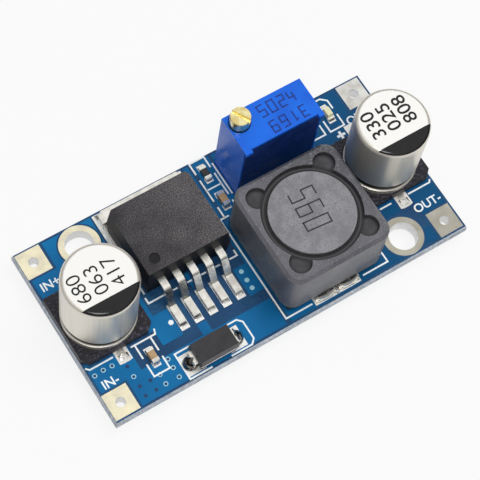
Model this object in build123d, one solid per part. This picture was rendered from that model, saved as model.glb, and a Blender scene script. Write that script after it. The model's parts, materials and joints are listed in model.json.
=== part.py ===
from build123d import *
import os
from math import atan, cos, degrees, pi, sin, sqrt

# Adjustable step-down converter on a small circuit board.
# Millimetres. The origin is the centre of the board's underside, +X runs from the input end
# to the output end, +Y towards the regulator's heat tab and the trimmer, +Z out of the board.

# Board: its length and width are the sum of the parts and gaps along it, further down
BOARD_THICKNESS = 1.6
SCORE_DEPTH = 0.5              # V-scored edges: the broken web stands proud between two bevels
SCORE_PROUD = 0.15
PLATING = 0.05                 # copper and tin, on the faces and in the holes

# Clearances
SEATING = 0.02                 # between curved faces that are pressed or cast together
RUNNING = 0.05                 # between the trimmer's turning pieces and their seats
ROOM = 0.1                     # between loose pieces inside a case

# Mounting holes, one near each of two opposite corners
MOUNT_INSET_X = 6.55           # from the nearest end
MOUNT_INSET_Y = 2.38           # from the nearest side
MOUNT_HOLE_R = 1.6
MOUNT_LAND_R = 2.25

# Wire terminals, one in each corner
TERMINAL_INSET_IN = 1.45       # from the input end
TERMINAL_INSET_OUT = 1.65      # from the output end
TERMINAL_INSET_Y = 1.7         # from the board's sides
TERMINAL_LAND_X = 2.85
TERMINAL_LAND_Y = 3.05
TERMINAL_HOLE_R = 0.55

# Regulator: five leads and a heat tab
REGULATOR_WIDTH = 10.0         # at the parting line, as its depth
REGULATOR_DEPTH = 8.7
REGULATOR_TOP = 4.45
REGULATOR_PARTING = 2.45
REGULATOR_DRAFT = 7.0
REGULATOR_LOWER_DRAFT = 4.0
REGULATOR_BOTTOM = 0.1
REGULATOR_CORNER = 0.5         # cut corners of the heat tab and of the body's back
TAB_WIDTH = 10.2
TAB_THICKNESS = 1.27
TAB_OVERHANG = 1.4
TAB_SUNK_WIDTH = 8.4           # the part of the tab inside the body
TAB_SUNK_DEPTH = 6.9
DIMPLE_R = 0.6
DIMPLE_DEPTH = 0.1
DIMPLE_INSET_X = 1.7
DIMPLE_INSET_Y = 1.6
DIE_SIZE = 3.6
DIE_THICKNESS = 0.35
LEAD_COUNT = 5
LEAD_PITCH = 1.7
LEAD_WIDTH = 0.8
LEAD_THICKNESS = 0.5
LEAD_BEND = 0.45
LEAD_SUNK = 1.2                # length inside the body
LEAD_SHOULDER = 1.1            # flat length before the first bend
LEAD_SLOPE = 1.3               # how far the sloping part runs out
LEAD_FOOT = 2.2
LEAD_LAND_WIDTH = 1.0
LEAD_LAND_TOE = 0.65
LEAD_LAND_HEEL = 0.35

# Electrolytic capacitors
CAPACITOR_Y = 0.25
CAN_R = 4.0
CAN_TOP = 10.1
CAN_WALL = 0.3
CAN_CROWN = 0.55               # radius of the shoulder
CAN_RIM = 0.2                  # radius of the rolled rim
CAN_CURL = 0.4                 # how far the rim turns in under the rubber
BEAD_HEIGHT = 1.35             # the rolled-in bead, above the rim
BEAD_R = 0.55
BEAD_DEPTH = 0.38
PLINTH_MARGIN = 0.15
PLINTH_HEIGHT = 1.0
PLINTH_CORNER = 0.7
PLINTH_SEAT = 0.15             # depth of the round seat under the can
SEAL_HEIGHT = 2.3
WINDING_HEIGHT = 6.3
WINDING_CORE_R = 0.5
CAPACITOR_LEAD_PITCH = 3.1
CAPACITOR_LEAD_R = 0.3
CAPACITOR_FOOT_WIDTH = 0.7
CAPACITOR_FOOT_THICKNESS = 0.2
CAPACITOR_FOOT_PROUD = 0.65
CAPACITOR_LAND_WIDTH = 1.5
CAPACITOR_LAND_PROUD = 1.5
CAPACITOR_LAND_DEPTH = 3.2

# Inductor
INDUCTOR_Y = -3.3
RING_SIZE = 12.3
RING_TOP = 7.45
RING_CORNER = 1.5
RING_EDGE = 0.35
RING_WALL = 0.8                # thinnest wall, between the bore and a side
POCKET_R = 1.2
POCKET_INSET = 2.05            # from a side to the middle of a pocket
POCKET_DEPTH = 1.6
GLUE_DROP = 0.4                # from the ring's top down to the glue in the groove
DRUM_TOP_GAP = 0.75            # glued groove round the disc
DRUM_TOP_THICKNESS = 1.3
DRUM_TOP_DROP = 0.05           # the disc lies a little below the ring's top
DRUM_FOOT_GAP = 0.25
DRUM_FOOT_THICKNESS = 1.1
DRUM_FLANGE = 2.0              # how far the disc reaches out past the column
COIL_SUNK = 0.2                # how far the coil stays inside the disc's edge
WIRE_TURNS = 4
WIRE_R = 0.5
INDUCTOR_BASE_INSET = 0.4
INDUCTOR_BASE_THICKNESS = 0.7
CLIP_THICKNESS = 0.2
CLIP_WIDTH = 5.4
CLIP_REACH = 1.9               # how far the clip runs in under the base
CLIP_LIP_HEIGHT = 0.75
CLIP_LIP_GAP = 0.5
CLIP_LIP_BOW = 0.3             # how far the middle of a lip stands out before its ends
CLIP_LAND_MARGIN = 0.15

# Trimmer
TRIMMER_DEPTH = 4.85
TRIMMER_TOP = 10.03
TRIMMER_STANDOFF = 0.35
TRIMMER_FOOT_LENGTH = 0.8
TRIMMER_WALL = 0.45
TRIMMER_BACK_WALL = 0.38
TRIMMER_END_WALL = 0.8         # beside the element
TRIMMER_FRONT_EDGE = 0.2       # beside the cover
TRIMMER_TAB_LEFT = 0.8         # the two small tabs at the top corners of the front
TRIMMER_TAB_RIGHT = 0.63
TRIMMER_TAB_HEIGHT = 0.5
TRIMMER_TOP_LIP = 0.4
TRIMMER_CEILING = 1.85
FRONT_RECESS = 0.4             # from the tabs back to the front face
COVER_THICKNESS = 0.6
ELEMENT_THICKNESS = 0.6
SCREW_X = 1.35                 # from the end
SCREW_Y = 1.3                  # from the back
SCREW_HEAD_R = 1.1
SCREW_HEAD_PROUD = 1.45
SCREW_WELL_R = 1.2
SCREW_WELL_DEPTH = 0.45
SCREW_SLOT_WIDTH = 0.38
SCREW_SLOT_DEPTH = 0.55
SCREW_SLOT_ANGLE = 120.0
SCREW_NECK_R = 0.7
SCREW_COLLAR_R = 0.85
SCREW_PIVOT_R = 0.35
PIVOT_DEPTH = 0.25
SEAL_WELL_R = 1.1
SEAL_WELL_DEPTH = 0.75
WORM_R = 0.85
WORM_ROOT_R = 0.5
WORM_TURNS = 5.5
WHEEL_TEETH = 30
WHEEL_PITCH_R = 3.0
WHEEL_ADDENDUM = 0.15
WHEEL_DEDENDUM = 0.2
WHEEL_THICKNESS = 0.8
WHEEL_HUB_R = 1.4
TOOTH_SHARE = 0.44             # share of the pitch that a tooth or a thread takes at the pitch line
TOOTH_TIP_SHARE = 0.24
AXLE_R = 0.6
WIPER_THICKNESS = 0.15
WIPER_STANDOFF = 0.3           # from the element to the wiper's plate
WIPER_REACH = 2.3
WIPER_ARM_WIDTH = 0.5
PIN_PITCH = 2.54
PIN_FRONT = 2.41               # from the front of the case to the row of pins
PIN_R = 0.25
PIN_HOLE_R = 0.45
PIN_LAND_R = 0.95
PIN_BELOW = 1.0                # below the board
PIN_FIRST = 2.22               # from the end of the case to the first pin
PIN_LAST = 2.23                # from the last pin to the other end
PIN_SHELF = 0.7                # height of a pin's bend above the bottom of the case
SOLDER_TIP_R = 0.4
SOLDER_HEIGHT = 0.75

# Diode
DIODE_LENGTH = 4.6
DIODE_WIDTH = 2.6
DIODE_TOP = 2.1
DIODE_PARTING = 1.15
DIODE_DRAFT = 8.0
DIODE_BOTTOM = 0.25
DIODE_STRIP_WIDTH = 1.45
DIODE_STRIP_THICKNESS = 0.2
DIODE_STRIP_PROUD = 0.5
DIODE_STRIP_FOOT = 1.1
DIODE_STRIP_BEND = 0.22
DIODE_STRIP_SUNK = 1.2
DIODE_CHIP_SIZE = 1.2
DIODE_LAND_LENGTH = 2.0
DIODE_LAND_WIDTH = 2.45
DIODE_LAND_PROUD = 0.7

# Chip parts, all with their length across the board
CHIP_LENGTH = 1.6
CHIP_WIDTH = 0.8
CHIP_END = 0.35
CHIP_END_THICKNESS = 0.03
CHIP_LAND_PROUD = 0.35
CHIP_CAPACITOR_HEIGHT = 0.8
CHIP_RESISTOR_HEIGHT = 0.45
LED_BASE_HEIGHT = 0.3
LED_LENS_HEIGHT = 0.4
LED_LENS_LENGTH = 1.1
LED_LENS_DRAFT = 12.0

# Gaps from the input end to the output end
CAPACITOR_MARGIN = 0.025       # from an end of the board to a plinth
TAB_GAP = 1.225                # from the input capacitor's plinth to the heat tab
RING_GAP = 1.2                 # from the heat tab to the inductor
PLINTH_GAP = 1.625             # from the inductor to the output capacitor's plinth
TRIMMER_OFFSET = 2.85          # from the inductor's near side to the trimmer's near end
DIODE_OFFSET = 2.3             # from the middle of the regulator back to that of the diode
INPUT_CHIP_INSET_X = 6.65      # from the input end
FEEDBACK_GAP = 2.48            # from the heat tab to the middle of the two feedback parts
INDICATOR_GAP = 1.87           # from the trimmer to the middle of the indicator's resistor
INDICATOR_PITCH = 2.45         # from that resistor to the light

# Gaps from the back of the board to the front
TAB_MARGIN = 0.6
TRIMMER_MARGIN = 1.2
DIODE_GAP = 2.75               # from the leads' toes to the diode
DIODE_MARGIN = 0.35
FEEDBACK_RESISTOR_INSET = 1.9  # from the back
FEEDBACK_CHIP_INSET = 5.5      # from the back
INDICATOR_INSET = 2.4          # from the back
INPUT_CHIP_INSET_Y = 4.2       # from the front

# The board's outline, and the trimmer's length over its three pins
TRIMMER_LENGTH = PIN_FIRST + 2 * PIN_PITCH + PIN_LAST
PLINTH_SIZE = 2 * (CAN_R + PLINTH_MARGIN)
LEAD_REACH = LEAD_SHOULDER + LEAD_SLOPE + LEAD_FOOT
ALONG = TAB_GAP + TAB_WIDTH + RING_GAP + RING_SIZE + PLINTH_GAP
BOARD_LENGTH = 2 * (CAPACITOR_MARGIN + PLINTH_SIZE) + ALONG
ACROSS = TAB_OVERHANG + REGULATOR_DEPTH + LEAD_REACH + DIODE_GAP + DIODE_WIDTH
BOARD_WIDTH = TAB_MARGIN + ACROSS + DIODE_MARGIN
IN_END = -BOARD_LENGTH / 2
OUT_END = BOARD_LENGTH / 2
BACK = BOARD_WIDTH / 2
FRONT = -BOARD_WIDTH / 2
LAND_TOP = BOARD_THICKNESS + PLATING

# Places of the parts
CAPACITOR_IN_X = IN_END + CAPACITOR_MARGIN + PLINTH_SIZE / 2
CAPACITOR_OUT_X = OUT_END - CAPACITOR_MARGIN - PLINTH_SIZE / 2
REGULATOR_X = CAPACITOR_IN_X + PLINTH_SIZE / 2 + TAB_GAP + TAB_WIDTH / 2
REGULATOR_FRONT = BACK - TAB_MARGIN - TAB_OVERHANG - REGULATOR_DEPTH
TAB_SIDE = REGULATOR_X + TAB_WIDTH / 2
INDUCTOR_X = TAB_SIDE + RING_GAP + RING_SIZE / 2
TRIMMER_X = TAB_SIDE + RING_GAP + TRIMMER_OFFSET
TRIMMER_Y = BACK - TRIMMER_MARGIN - TRIMMER_DEPTH
DIODE_X = REGULATOR_X - DIODE_OFFSET
DIODE_Y = FRONT + DIODE_MARGIN + DIODE_WIDTH / 2
INPUT_CHIP = (IN_END + INPUT_CHIP_INSET_X, FRONT + INPUT_CHIP_INSET_Y)
FEEDBACK_CHIP = (TAB_SIDE + FEEDBACK_GAP, BACK - FEEDBACK_CHIP_INSET)
FEEDBACK_RESISTOR = (TAB_SIDE + FEEDBACK_GAP, BACK - FEEDBACK_RESISTOR_INSET)
INDICATOR_X = TRIMMER_X + TRIMMER_LENGTH + INDICATOR_GAP
INDICATOR_RESISTOR = (INDICATOR_X, BACK - INDICATOR_INSET)
INDICATOR_LED = (INDICATOR_X + INDICATOR_PITCH, BACK - INDICATOR_INSET)


def block(x_range, y_range, z_range):
    """A plain block between two limits along each axis."""
    sizes = [high - low for low, high in (x_range, y_range, z_range)]
    middle = [(high + low) / 2 for low, high in (x_range, y_range, z_range)]
    return Pos(*middle) * Box(*sizes)


def post(x, y, radius, z_range):
    """An upright round post."""
    low, high = z_range
    return Pos(x, y, (low + high) / 2) * Cylinder(radius, high - low)


def bent_strip(points, width, thickness, bend, across):
    """A strip of sheet metal that follows a line of points, with round bends."""
    path = FilletPolyline(*points, radius=bend)
    section = Plane(origin=path @ 0, x_dir=across, z_dir=path % 0) * Rectangle(width, thickness)
    return sweep(section, path=path)


def plated_hole(x, y, hole_r, land):
    """Lands on both faces of the board, joined by a plated barrel."""
    top = extrude(Plane.XY.offset(BOARD_THICKNESS) * land, PLATING)
    bottom = extrude(Plane.XY.offset(-PLATING) * land, PLATING)
    barrel = Cylinder(hole_r + PLATING, BOARD_THICKNESS + 2 * PLATING)
    bore = Cylinder(hole_r, BOARD_THICKNESS + 4 * PLATING)
    middle = Pos(0, 0, BOARD_THICKNESS / 2)
    return Pos(x, y, 0) * (top + bottom + middle * barrel - middle * bore)


def land(x_range, y_range):
    """A flat land on the top of the board."""
    return block(x_range, y_range, (BOARD_THICKNESS, LAND_TOP))


def mounting_places():
    """Centres of the two mounting holes, input end first."""
    left = (IN_END + MOUNT_INSET_X, BACK - MOUNT_INSET_Y)
    return [left, (-left[0], -left[1])]


def terminal_places():
    """Centre of each wire terminal, by name."""
    left = IN_END + TERMINAL_INSET_IN
    right = OUT_END - TERMINAL_INSET_OUT
    back = BACK - TERMINAL_INSET_Y
    return {
        "in_positive": (left, back),
        "in_negative": (left, -back),
        "out_positive": (right, back),
        "out_negative": (right, -back),
    }


def pin_places():
    """Centres of the three trimmer pins."""
    y = TRIMMER_Y + PIN_FRONT
    return [(TRIMMER_X + PIN_FIRST + i * PIN_PITCH, y) for i in range(3)]


def circuit_board():
    """Laminate with bevelled, scored edges and every drilled hole."""
    bevel = degrees(atan(SCORE_PROUD / SCORE_DEPTH))
    face = Rectangle(BOARD_LENGTH + 2 * SCORE_PROUD, BOARD_WIDTH + 2 * SCORE_PROUD)
    web = extrude(Plane.XY.offset(SCORE_DEPTH) * face, BOARD_THICKNESS - 2 * SCORE_DEPTH)
    upper = extrude(Plane.XY.offset(BOARD_THICKNESS - SCORE_DEPTH) * face, SCORE_DEPTH, taper=bevel)
    lower = extrude(Plane.XY.offset(SCORE_DEPTH) * face, SCORE_DEPTH, dir=(0, 0, -1), taper=bevel)
    board = web + upper + lower
    through = (-PLATING, LAND_TOP)
    for x, y in mounting_places():
        board -= post(x, y, MOUNT_HOLE_R + PLATING, through)
    for x, y in terminal_places().values():
        board -= post(x, y, TERMINAL_HOLE_R + PLATING, through)
    for x, y in pin_places():
        board -= post(x, y, PIN_HOLE_R + PLATING, through)
    return board


def board_nodes():
    nodes = {"circuit_board": circuit_board()}
    for name, (x, y) in terminal_places().items():
        face = Rectangle(TERMINAL_LAND_X, TERMINAL_LAND_Y)
        nodes["terminal_land_" + name] = plated_hole(x, y, TERMINAL_HOLE_R, face)
    for name, (x, y) in zip(("in", "out"), mounting_places()):
        nodes["mounting_land_" + name] = plated_hole(x, y, MOUNT_HOLE_R, Circle(MOUNT_LAND_R))
    return nodes


def lead_places():
    """Offset of each regulator lead from the middle of the body."""
    return [(i - (LEAD_COUNT - 1) / 2) * LEAD_PITCH for i in range(LEAD_COUNT)]


def lead_profile():
    """Middle line of a gull-wing lead from the body out to its toe, as (y, z)."""
    shoulder = REGULATOR_FRONT - LEAD_SHOULDER
    heel = shoulder - LEAD_SLOPE
    foot = LEAD_THICKNESS / 2
    return [(shoulder, REGULATOR_PARTING), (heel, foot), (heel - LEAD_FOOT, foot)]


def gull_wing_lead(x, inner):
    """One formed lead, from its inner points inside the body to its foot on the board."""
    points = [(x, y, z) for y, z in inner + lead_profile()]
    return bent_strip(points, LEAD_WIDTH, LEAD_THICKNESS, LEAD_BEND, (1, 0, 0))


def regulator_tab():
    """Heat tab and centre lead, one piece of the lead frame."""
    back = REGULATOR_FRONT + REGULATOR_DEPTH
    outer = block((-TAB_WIDTH / 2, TAB_WIDTH / 2), (back, back + TAB_OVERHANG), (0, TAB_THICKNESS))
    corners = outer.edges().filter_by(Axis.Z).group_by(Axis.Y)[-1]
    outer = chamfer(corners, REGULATOR_CORNER)
    front = back - TAB_SUNK_DEPTH
    half = TAB_SUNK_WIDTH / 2
    sunk = block((-half, half), (front, back), (0, TAB_THICKNESS))
    root = [(front + LEAD_SUNK, TAB_THICKNESS / 2), (front + LEAD_THICKNESS, TAB_THICKNESS / 2)]
    rise = [(REGULATOR_FRONT + LEAD_SUNK / 2, REGULATOR_PARTING)]
    points = [(0, y, z) for y, z in root + rise + lead_profile()]
    lead = bent_strip(points, LEAD_WIDTH, LEAD_THICKNESS, LEAD_BEND, (1, 0, 0))
    return outer + sunk + lead


def regulator_moulding():
    """Moulded body with draft above and below the parting line, cut corners and a dimple."""
    middle = Pos(0, REGULATOR_FRONT + REGULATOR_DEPTH / 2, REGULATOR_PARTING)
    face = Rectangle(REGULATOR_WIDTH, REGULATOR_DEPTH)
    face = chamfer(face.vertices().group_by(Axis.Y)[-1], REGULATOR_CORNER)
    upper = extrude(face, REGULATOR_TOP - REGULATOR_PARTING, taper=REGULATOR_DRAFT)
    drop = REGULATOR_PARTING - REGULATOR_BOTTOM
    lower = extrude(face, drop, dir=(0, 0, -1), taper=REGULATOR_LOWER_DRAFT)
    dimple_x = DIMPLE_INSET_X - REGULATOR_WIDTH / 2
    dimple_y = REGULATOR_FRONT + DIMPLE_INSET_Y
    dimple = post(dimple_x, dimple_y, DIMPLE_R, (REGULATOR_TOP - DIMPLE_DEPTH, REGULATOR_TOP + ROOM))
    return middle * (upper + lower) - dimple


def regulator_nodes():
    tab = regulator_tab()
    inner = [(REGULATOR_FRONT + LEAD_SUNK, REGULATOR_PARTING)]
    centre = LEAD_COUNT // 2
    leads = {}
    for i, x in enumerate(lead_places()):
        if i != centre:
            leads["regulator_lead_" + str(i + 1)] = gull_wing_lead(x, inner)
    half = DIE_SIZE / 2
    die_y = REGULATOR_FRONT + REGULATOR_DEPTH - TAB_SUNK_DEPTH / 2
    die_z = (TAB_THICKNESS, TAB_THICKNESS + DIE_THICKNESS)
    die = block((-half, half), (die_y - half, die_y + half), die_z)
    body = regulator_moulding() - tab - die
    for lead in leads.values():
        body -= lead
    nodes = {"regulator_body": body, "regulator_heat_tab": tab, "regulator_die": die, **leads}
    place = Pos(REGULATOR_X, 0, LAND_TOP)
    return {name: place * piece for name, piece in nodes.items()}


def regulator_lands():
    heel = REGULATOR_FRONT - LEAD_SHOULDER - LEAD_SLOPE
    toe = heel - LEAD_FOOT
    lands = []
    for x in lead_places():
        middle = REGULATOR_X + x
        x_range = (middle - LEAD_LAND_WIDTH / 2, middle + LEAD_LAND_WIDTH / 2)
        lands.append(land(x_range, (toe - LEAD_LAND_TOE, heel + LEAD_LAND_HEEL)))
    back = REGULATOR_FRONT + REGULATOR_DEPTH
    half = TAB_WIDTH / 2 + LEAD_LAND_HEEL
    x_range = (REGULATOR_X - half, REGULATOR_X + half)
    lands.append(land(x_range, (back - TAB_SUNK_DEPTH, back + TAB_OVERHANG + LEAD_LAND_HEEL)))
    return lands


def can_cavity(radius, bead_r):
    """The room inside a can, or any slug that fits it: a cylinder with the bead's groove."""
    low = PLINTH_HEIGHT + CAN_WALL
    high = CAN_TOP - CAN_WALL
    slug = post(0, 0, radius, (low, high))
    mouth = post(0, 0, radius - CAN_CURL, (PLINTH_HEIGHT - PLINTH_SEAT, low))
    ring_r = CAN_R + BEAD_R - BEAD_DEPTH
    bead = Pos(0, 0, PLINTH_HEIGHT - PLINTH_SEAT + BEAD_HEIGHT) * Torus(ring_r, bead_r)
    return slug + mouth - bead


def capacitor_can():
    """Drawn can with a round shoulder, a rolled bead and a rim turned in under the rubber."""
    low = PLINTH_HEIGHT - PLINTH_SEAT
    shell = post(0, 0, CAN_R, (low, CAN_TOP))
    shell = fillet(shell.edges().group_by(Axis.Z)[-1], CAN_CROWN)
    shell = fillet(shell.edges().group_by(Axis.Z)[0], CAN_RIM)
    ring_r = CAN_R + BEAD_R - BEAD_DEPTH
    shell -= Pos(0, 0, low + BEAD_HEIGHT) * Torus(ring_r, BEAD_R)
    return shell - can_cavity(CAN_R - CAN_WALL, BEAD_R + CAN_WALL)


def capacitor_seal():
    """Rubber bung that fills the mouth of the can up to its own height, with two lead holes."""
    low = PLINTH_HEIGHT - PLINTH_SEAT
    slug = can_cavity(CAN_R - CAN_WALL - SEATING, BEAD_R + CAN_WALL + SEATING)
    seal = slug & post(0, 0, CAN_R, (low, low + SEAL_HEIGHT))
    for side in (-1, 1):
        y = side * CAPACITOR_LEAD_PITCH / 2
        seal -= post(0, y, CAPACITOR_LEAD_R + SEATING, (low - ROOM, low + SEAL_HEIGHT + ROOM))
    return seal


def capacitor_plinth():
    """Moulded plinth: two cut corners, a round seat, two lead holes and their grooves."""
    half = CAN_R + PLINTH_MARGIN
    plinth = block((-half, half), (-half, half), (0, PLINTH_HEIGHT))
    front = plinth.edges().filter_by(Axis.Z).group_by(Axis.Y)[0]
    plinth = chamfer(front, PLINTH_CORNER)
    seat = PLINTH_HEIGHT - PLINTH_SEAT
    plinth -= post(0, 0, CAN_R + SEATING, (seat, PLINTH_HEIGHT + ROOM))
    groove = CAPACITOR_FOOT_THICKNESS + SEATING
    groove_half = CAPACITOR_FOOT_WIDTH / 2 + SEATING
    for side in (-1, 1):
        y = side * CAPACITOR_LEAD_PITCH / 2
        plinth -= post(0, y, CAPACITOR_FOOT_WIDTH / 2 + SEATING, (-ROOM, PLINTH_HEIGHT))
        y_range = sorted((y, side * (half + ROOM)))
        plinth -= block((-groove_half, groove_half), y_range, (-ROOM, groove))
    return plinth


def capacitor_lead(side):
    """Round lead from the winding down through the rubber, with a flat foot turned outwards."""
    y = side * CAPACITOR_LEAD_PITCH / 2
    low = PLINTH_HEIGHT - PLINTH_SEAT
    stem = post(0, y, CAPACITOR_LEAD_R, (0, low + SEAL_HEIGHT + ROOM))
    half = CAPACITOR_FOOT_WIDTH / 2
    toe = side * (CAN_R + PLINTH_MARGIN + CAPACITOR_FOOT_PROUD)
    heel = y - side * CAPACITOR_LEAD_R
    foot = block((-half, half), sorted((heel, toe)), (0, CAPACITOR_FOOT_THICKNESS))
    return stem + foot


def capacitor_winding():
    """Wound foil element, one solid with the bore of its winding pin."""
    low = PLINTH_HEIGHT - PLINTH_SEAT + SEAL_HEIGHT + ROOM
    radius = CAN_R - CAN_WALL - ROOM
    winding = post(0, 0, radius, (low, low + WINDING_HEIGHT))
    return winding - post(0, 0, WINDING_CORE_R, (low, low + WINDING_HEIGHT))


def capacitor_nodes(name, x):
    pieces = {
        "can": capacitor_can(),
        "winding": capacitor_winding(),
        "seal": capacitor_seal(),
        "base": capacitor_plinth(),
        "positive_lead": capacitor_lead(1),
        "negative_lead": capacitor_lead(-1),
    }
    place = Pos(x, CAPACITOR_Y, LAND_TOP)
    return {name + "_" + part: place * piece for part, piece in pieces.items()}


def capacitor_lands(x):
    outer = CAN_R + PLINTH_MARGIN + CAPACITOR_LAND_PROUD
    x_range = (x - CAPACITOR_LAND_WIDTH / 2, x + CAPACITOR_LAND_WIDTH / 2)
    back = (CAPACITOR_Y + outer - CAPACITOR_LAND_DEPTH, CAPACITOR_Y + outer)
    front = (CAPACITOR_Y - outer, CAPACITOR_Y - outer + CAPACITOR_LAND_DEPTH)
    return [land(x_range, back), land(x_range, front)]


def ring_bore():
    """Radius of the ring's bore."""
    return RING_SIZE / 2 - RING_WALL


def disc_radius():
    """Radius of the drum's upper disc."""
    return ring_bore() - DRUM_TOP_GAP


def pocket_places():
    """Middles of the four glue pockets, about the inductor's own middle."""
    offset = RING_SIZE / 2 - POCKET_INSET
    return [(x, y) for x in (-offset, offset) for y in (-offset, offset)]


def inductor_ring():
    """Square ferrite ring with a round bore and four glue pockets that open into it."""
    low = CLIP_THICKNESS + INDUCTOR_BASE_THICKNESS
    face = RectangleRounded(RING_SIZE, RING_SIZE, RING_CORNER)
    ring = extrude(Plane.XY.offset(low) * face, RING_TOP - low)
    ring = chamfer(ring.edges().group_by(Axis.Z)[-1], RING_EDGE)
    ring -= post(0, 0, ring_bore(), (low, RING_TOP))
    for x, y in pocket_places():
        ring -= post(x, y, POCKET_R, (RING_TOP - POCKET_DEPTH, RING_TOP))
    return ring


def drum_heights():
    """Bottom of the drum, top of its foot, underside of its disc and its top."""
    low = CLIP_THICKNESS + INDUCTOR_BASE_THICKNESS
    top = RING_TOP - DRUM_TOP_DROP
    return low, low + DRUM_FOOT_THICKNESS, top - DRUM_TOP_THICKNESS, top


def inductor_drum():
    """Ferrite drum: foot, column and the upper disc."""
    low, foot, disc, top = drum_heights()
    drum = post(0, 0, ring_bore() - DRUM_FOOT_GAP, (low, foot))
    drum += post(0, 0, disc_radius() - DRUM_FLANGE, (foot, disc))
    return drum + post(0, 0, disc_radius(), (disc, top))


def inductor_winding():
    """Copper winding between the drum's flanges, its outer layer shown as round turns."""
    low, foot, disc, top = drum_heights()
    step = (disc - foot) / WIRE_TURNS
    core_r = disc_radius() - COIL_SUNK - WIRE_R
    coil = post(0, 0, core_r, (foot, disc))
    for i in range(WIRE_TURNS):
        coil += Pos(0, 0, foot + (i + 0.5) * step) * Torus(core_r, WIRE_R)
    return coil - post(0, 0, disc_radius() - DRUM_FLANGE + SEATING, (foot, disc))


def inductor_glue():
    """Dark epoxy in the groove round the disc and in the four pockets that open into it."""
    z_range = (RING_TOP - POCKET_DEPTH, RING_TOP - GLUE_DROP)
    glue = post(0, 0, ring_bore() - SEATING, z_range)
    for x, y in pocket_places():
        glue += post(x, y, POCKET_R - SEATING, z_range)
    return glue - post(0, 0, disc_radius() + SEATING, z_range)


def inductor_base():
    """Moulded plate under the cores, notched where the clips turn up round it."""
    half = RING_SIZE / 2 - INDUCTOR_BASE_INSET
    z_range = (CLIP_THICKNESS, CLIP_THICKNESS + INDUCTOR_BASE_THICKNESS)
    return block((-half, half), (-half, half), z_range)


def clip_lip():
    """Upright strip, bowed forwards between its ends, which lie on the X axis."""
    half = (CLIP_WIDTH - CLIP_LIP_GAP) / 4
    radius = (half**2 + CLIP_LIP_BOW**2) / (2 * CLIP_LIP_BOW)
    reach = CLIP_LIP_BOW + CLIP_THICKNESS
    band = Pos(0, radius - CLIP_LIP_BOW) * (Circle(radius + CLIP_THICKNESS) - Circle(radius))
    return extrude(band & (Pos(0, -reach / 2) * Rectangle(2 * half, reach)), CLIP_LIP_HEIGHT)


def inductor_clip():
    """Tinned clip under the front edge: a foot and two bowed lips turned up before the base."""
    front = -RING_SIZE / 2
    half = CLIP_WIDTH / 2
    reach = CLIP_THICKNESS + CLIP_LIP_BOW
    foot = block((-half, half), (front - reach, front + CLIP_REACH), (0, CLIP_THICKNESS))
    lip_middle = (half + CLIP_LIP_GAP / 2) / 2
    for x in (-lip_middle, lip_middle):
        foot += Pos(x, front, 0) * clip_lip()
    return foot


def inductor_nodes():
    clip = inductor_clip()
    pieces = {
        "shield_ring": inductor_ring(),
        "drum_core": inductor_drum(),
        "winding": inductor_winding(),
        "glue": inductor_glue(),
        "base": inductor_base(),
        "terminal_front": clip,
        "terminal_back": Rot(0, 0, 180) * clip,
    }
    place = Pos(INDUCTOR_X, INDUCTOR_Y, LAND_TOP)
    return {"inductor_" + part: place * piece for part, piece in pieces.items()}


def inductor_lands():
    half = CLIP_WIDTH / 2 + CLIP_LAND_MARGIN
    outer = RING_SIZE / 2 + CLIP_THICKNESS + CLIP_LIP_BOW + CLIP_LAND_MARGIN
    inner = RING_SIZE / 2 - CLIP_REACH - CLIP_LAND_MARGIN
    x_range = (INDUCTOR_X - half, INDUCTOR_X + half)
    front = land(x_range, (INDUCTOR_Y - outer, INDUCTOR_Y - inner))
    back = land(x_range, (INDUCTOR_Y + inner, INDUCTOR_Y + outer))
    return [front, back]


def trimmer_sizes():
    """Places inside the trimmer that several of its pieces share, in its own frame."""
    floor = TRIMMER_STANDOFF + TRIMMER_WALL
    ceiling = TRIMMER_TOP - TRIMMER_CEILING
    element_back = FRONT_RECESS + COVER_THICKNESS + ELEMENT_THICKNESS
    axle_x = SCREW_X + wheel_distance()
    axle_z = (floor + ceiling) / 2
    return floor, ceiling, element_back, axle_x, axle_z


def wheel_distance():
    """From the worm's axis to the wheel's, with the teeth clear of the worm's root."""
    return WHEEL_PITCH_R + WHEEL_ADDENDUM + WORM_ROOT_R + RUNNING


def hub_length():
    """From the middle of the wheel to the front of its hub, where the wiper sits."""
    element_back = FRONT_RECESS + COVER_THICKNESS + ELEMENT_THICKNESS
    return TRIMMER_DEPTH - SCREW_Y - element_back - WIPER_STANDOFF - WIPER_THICKNESS


def worm_pitch():
    """The thread advances one tooth a turn."""
    return 2 * pi * WHEEL_PITCH_R / WHEEL_TEETH


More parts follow.
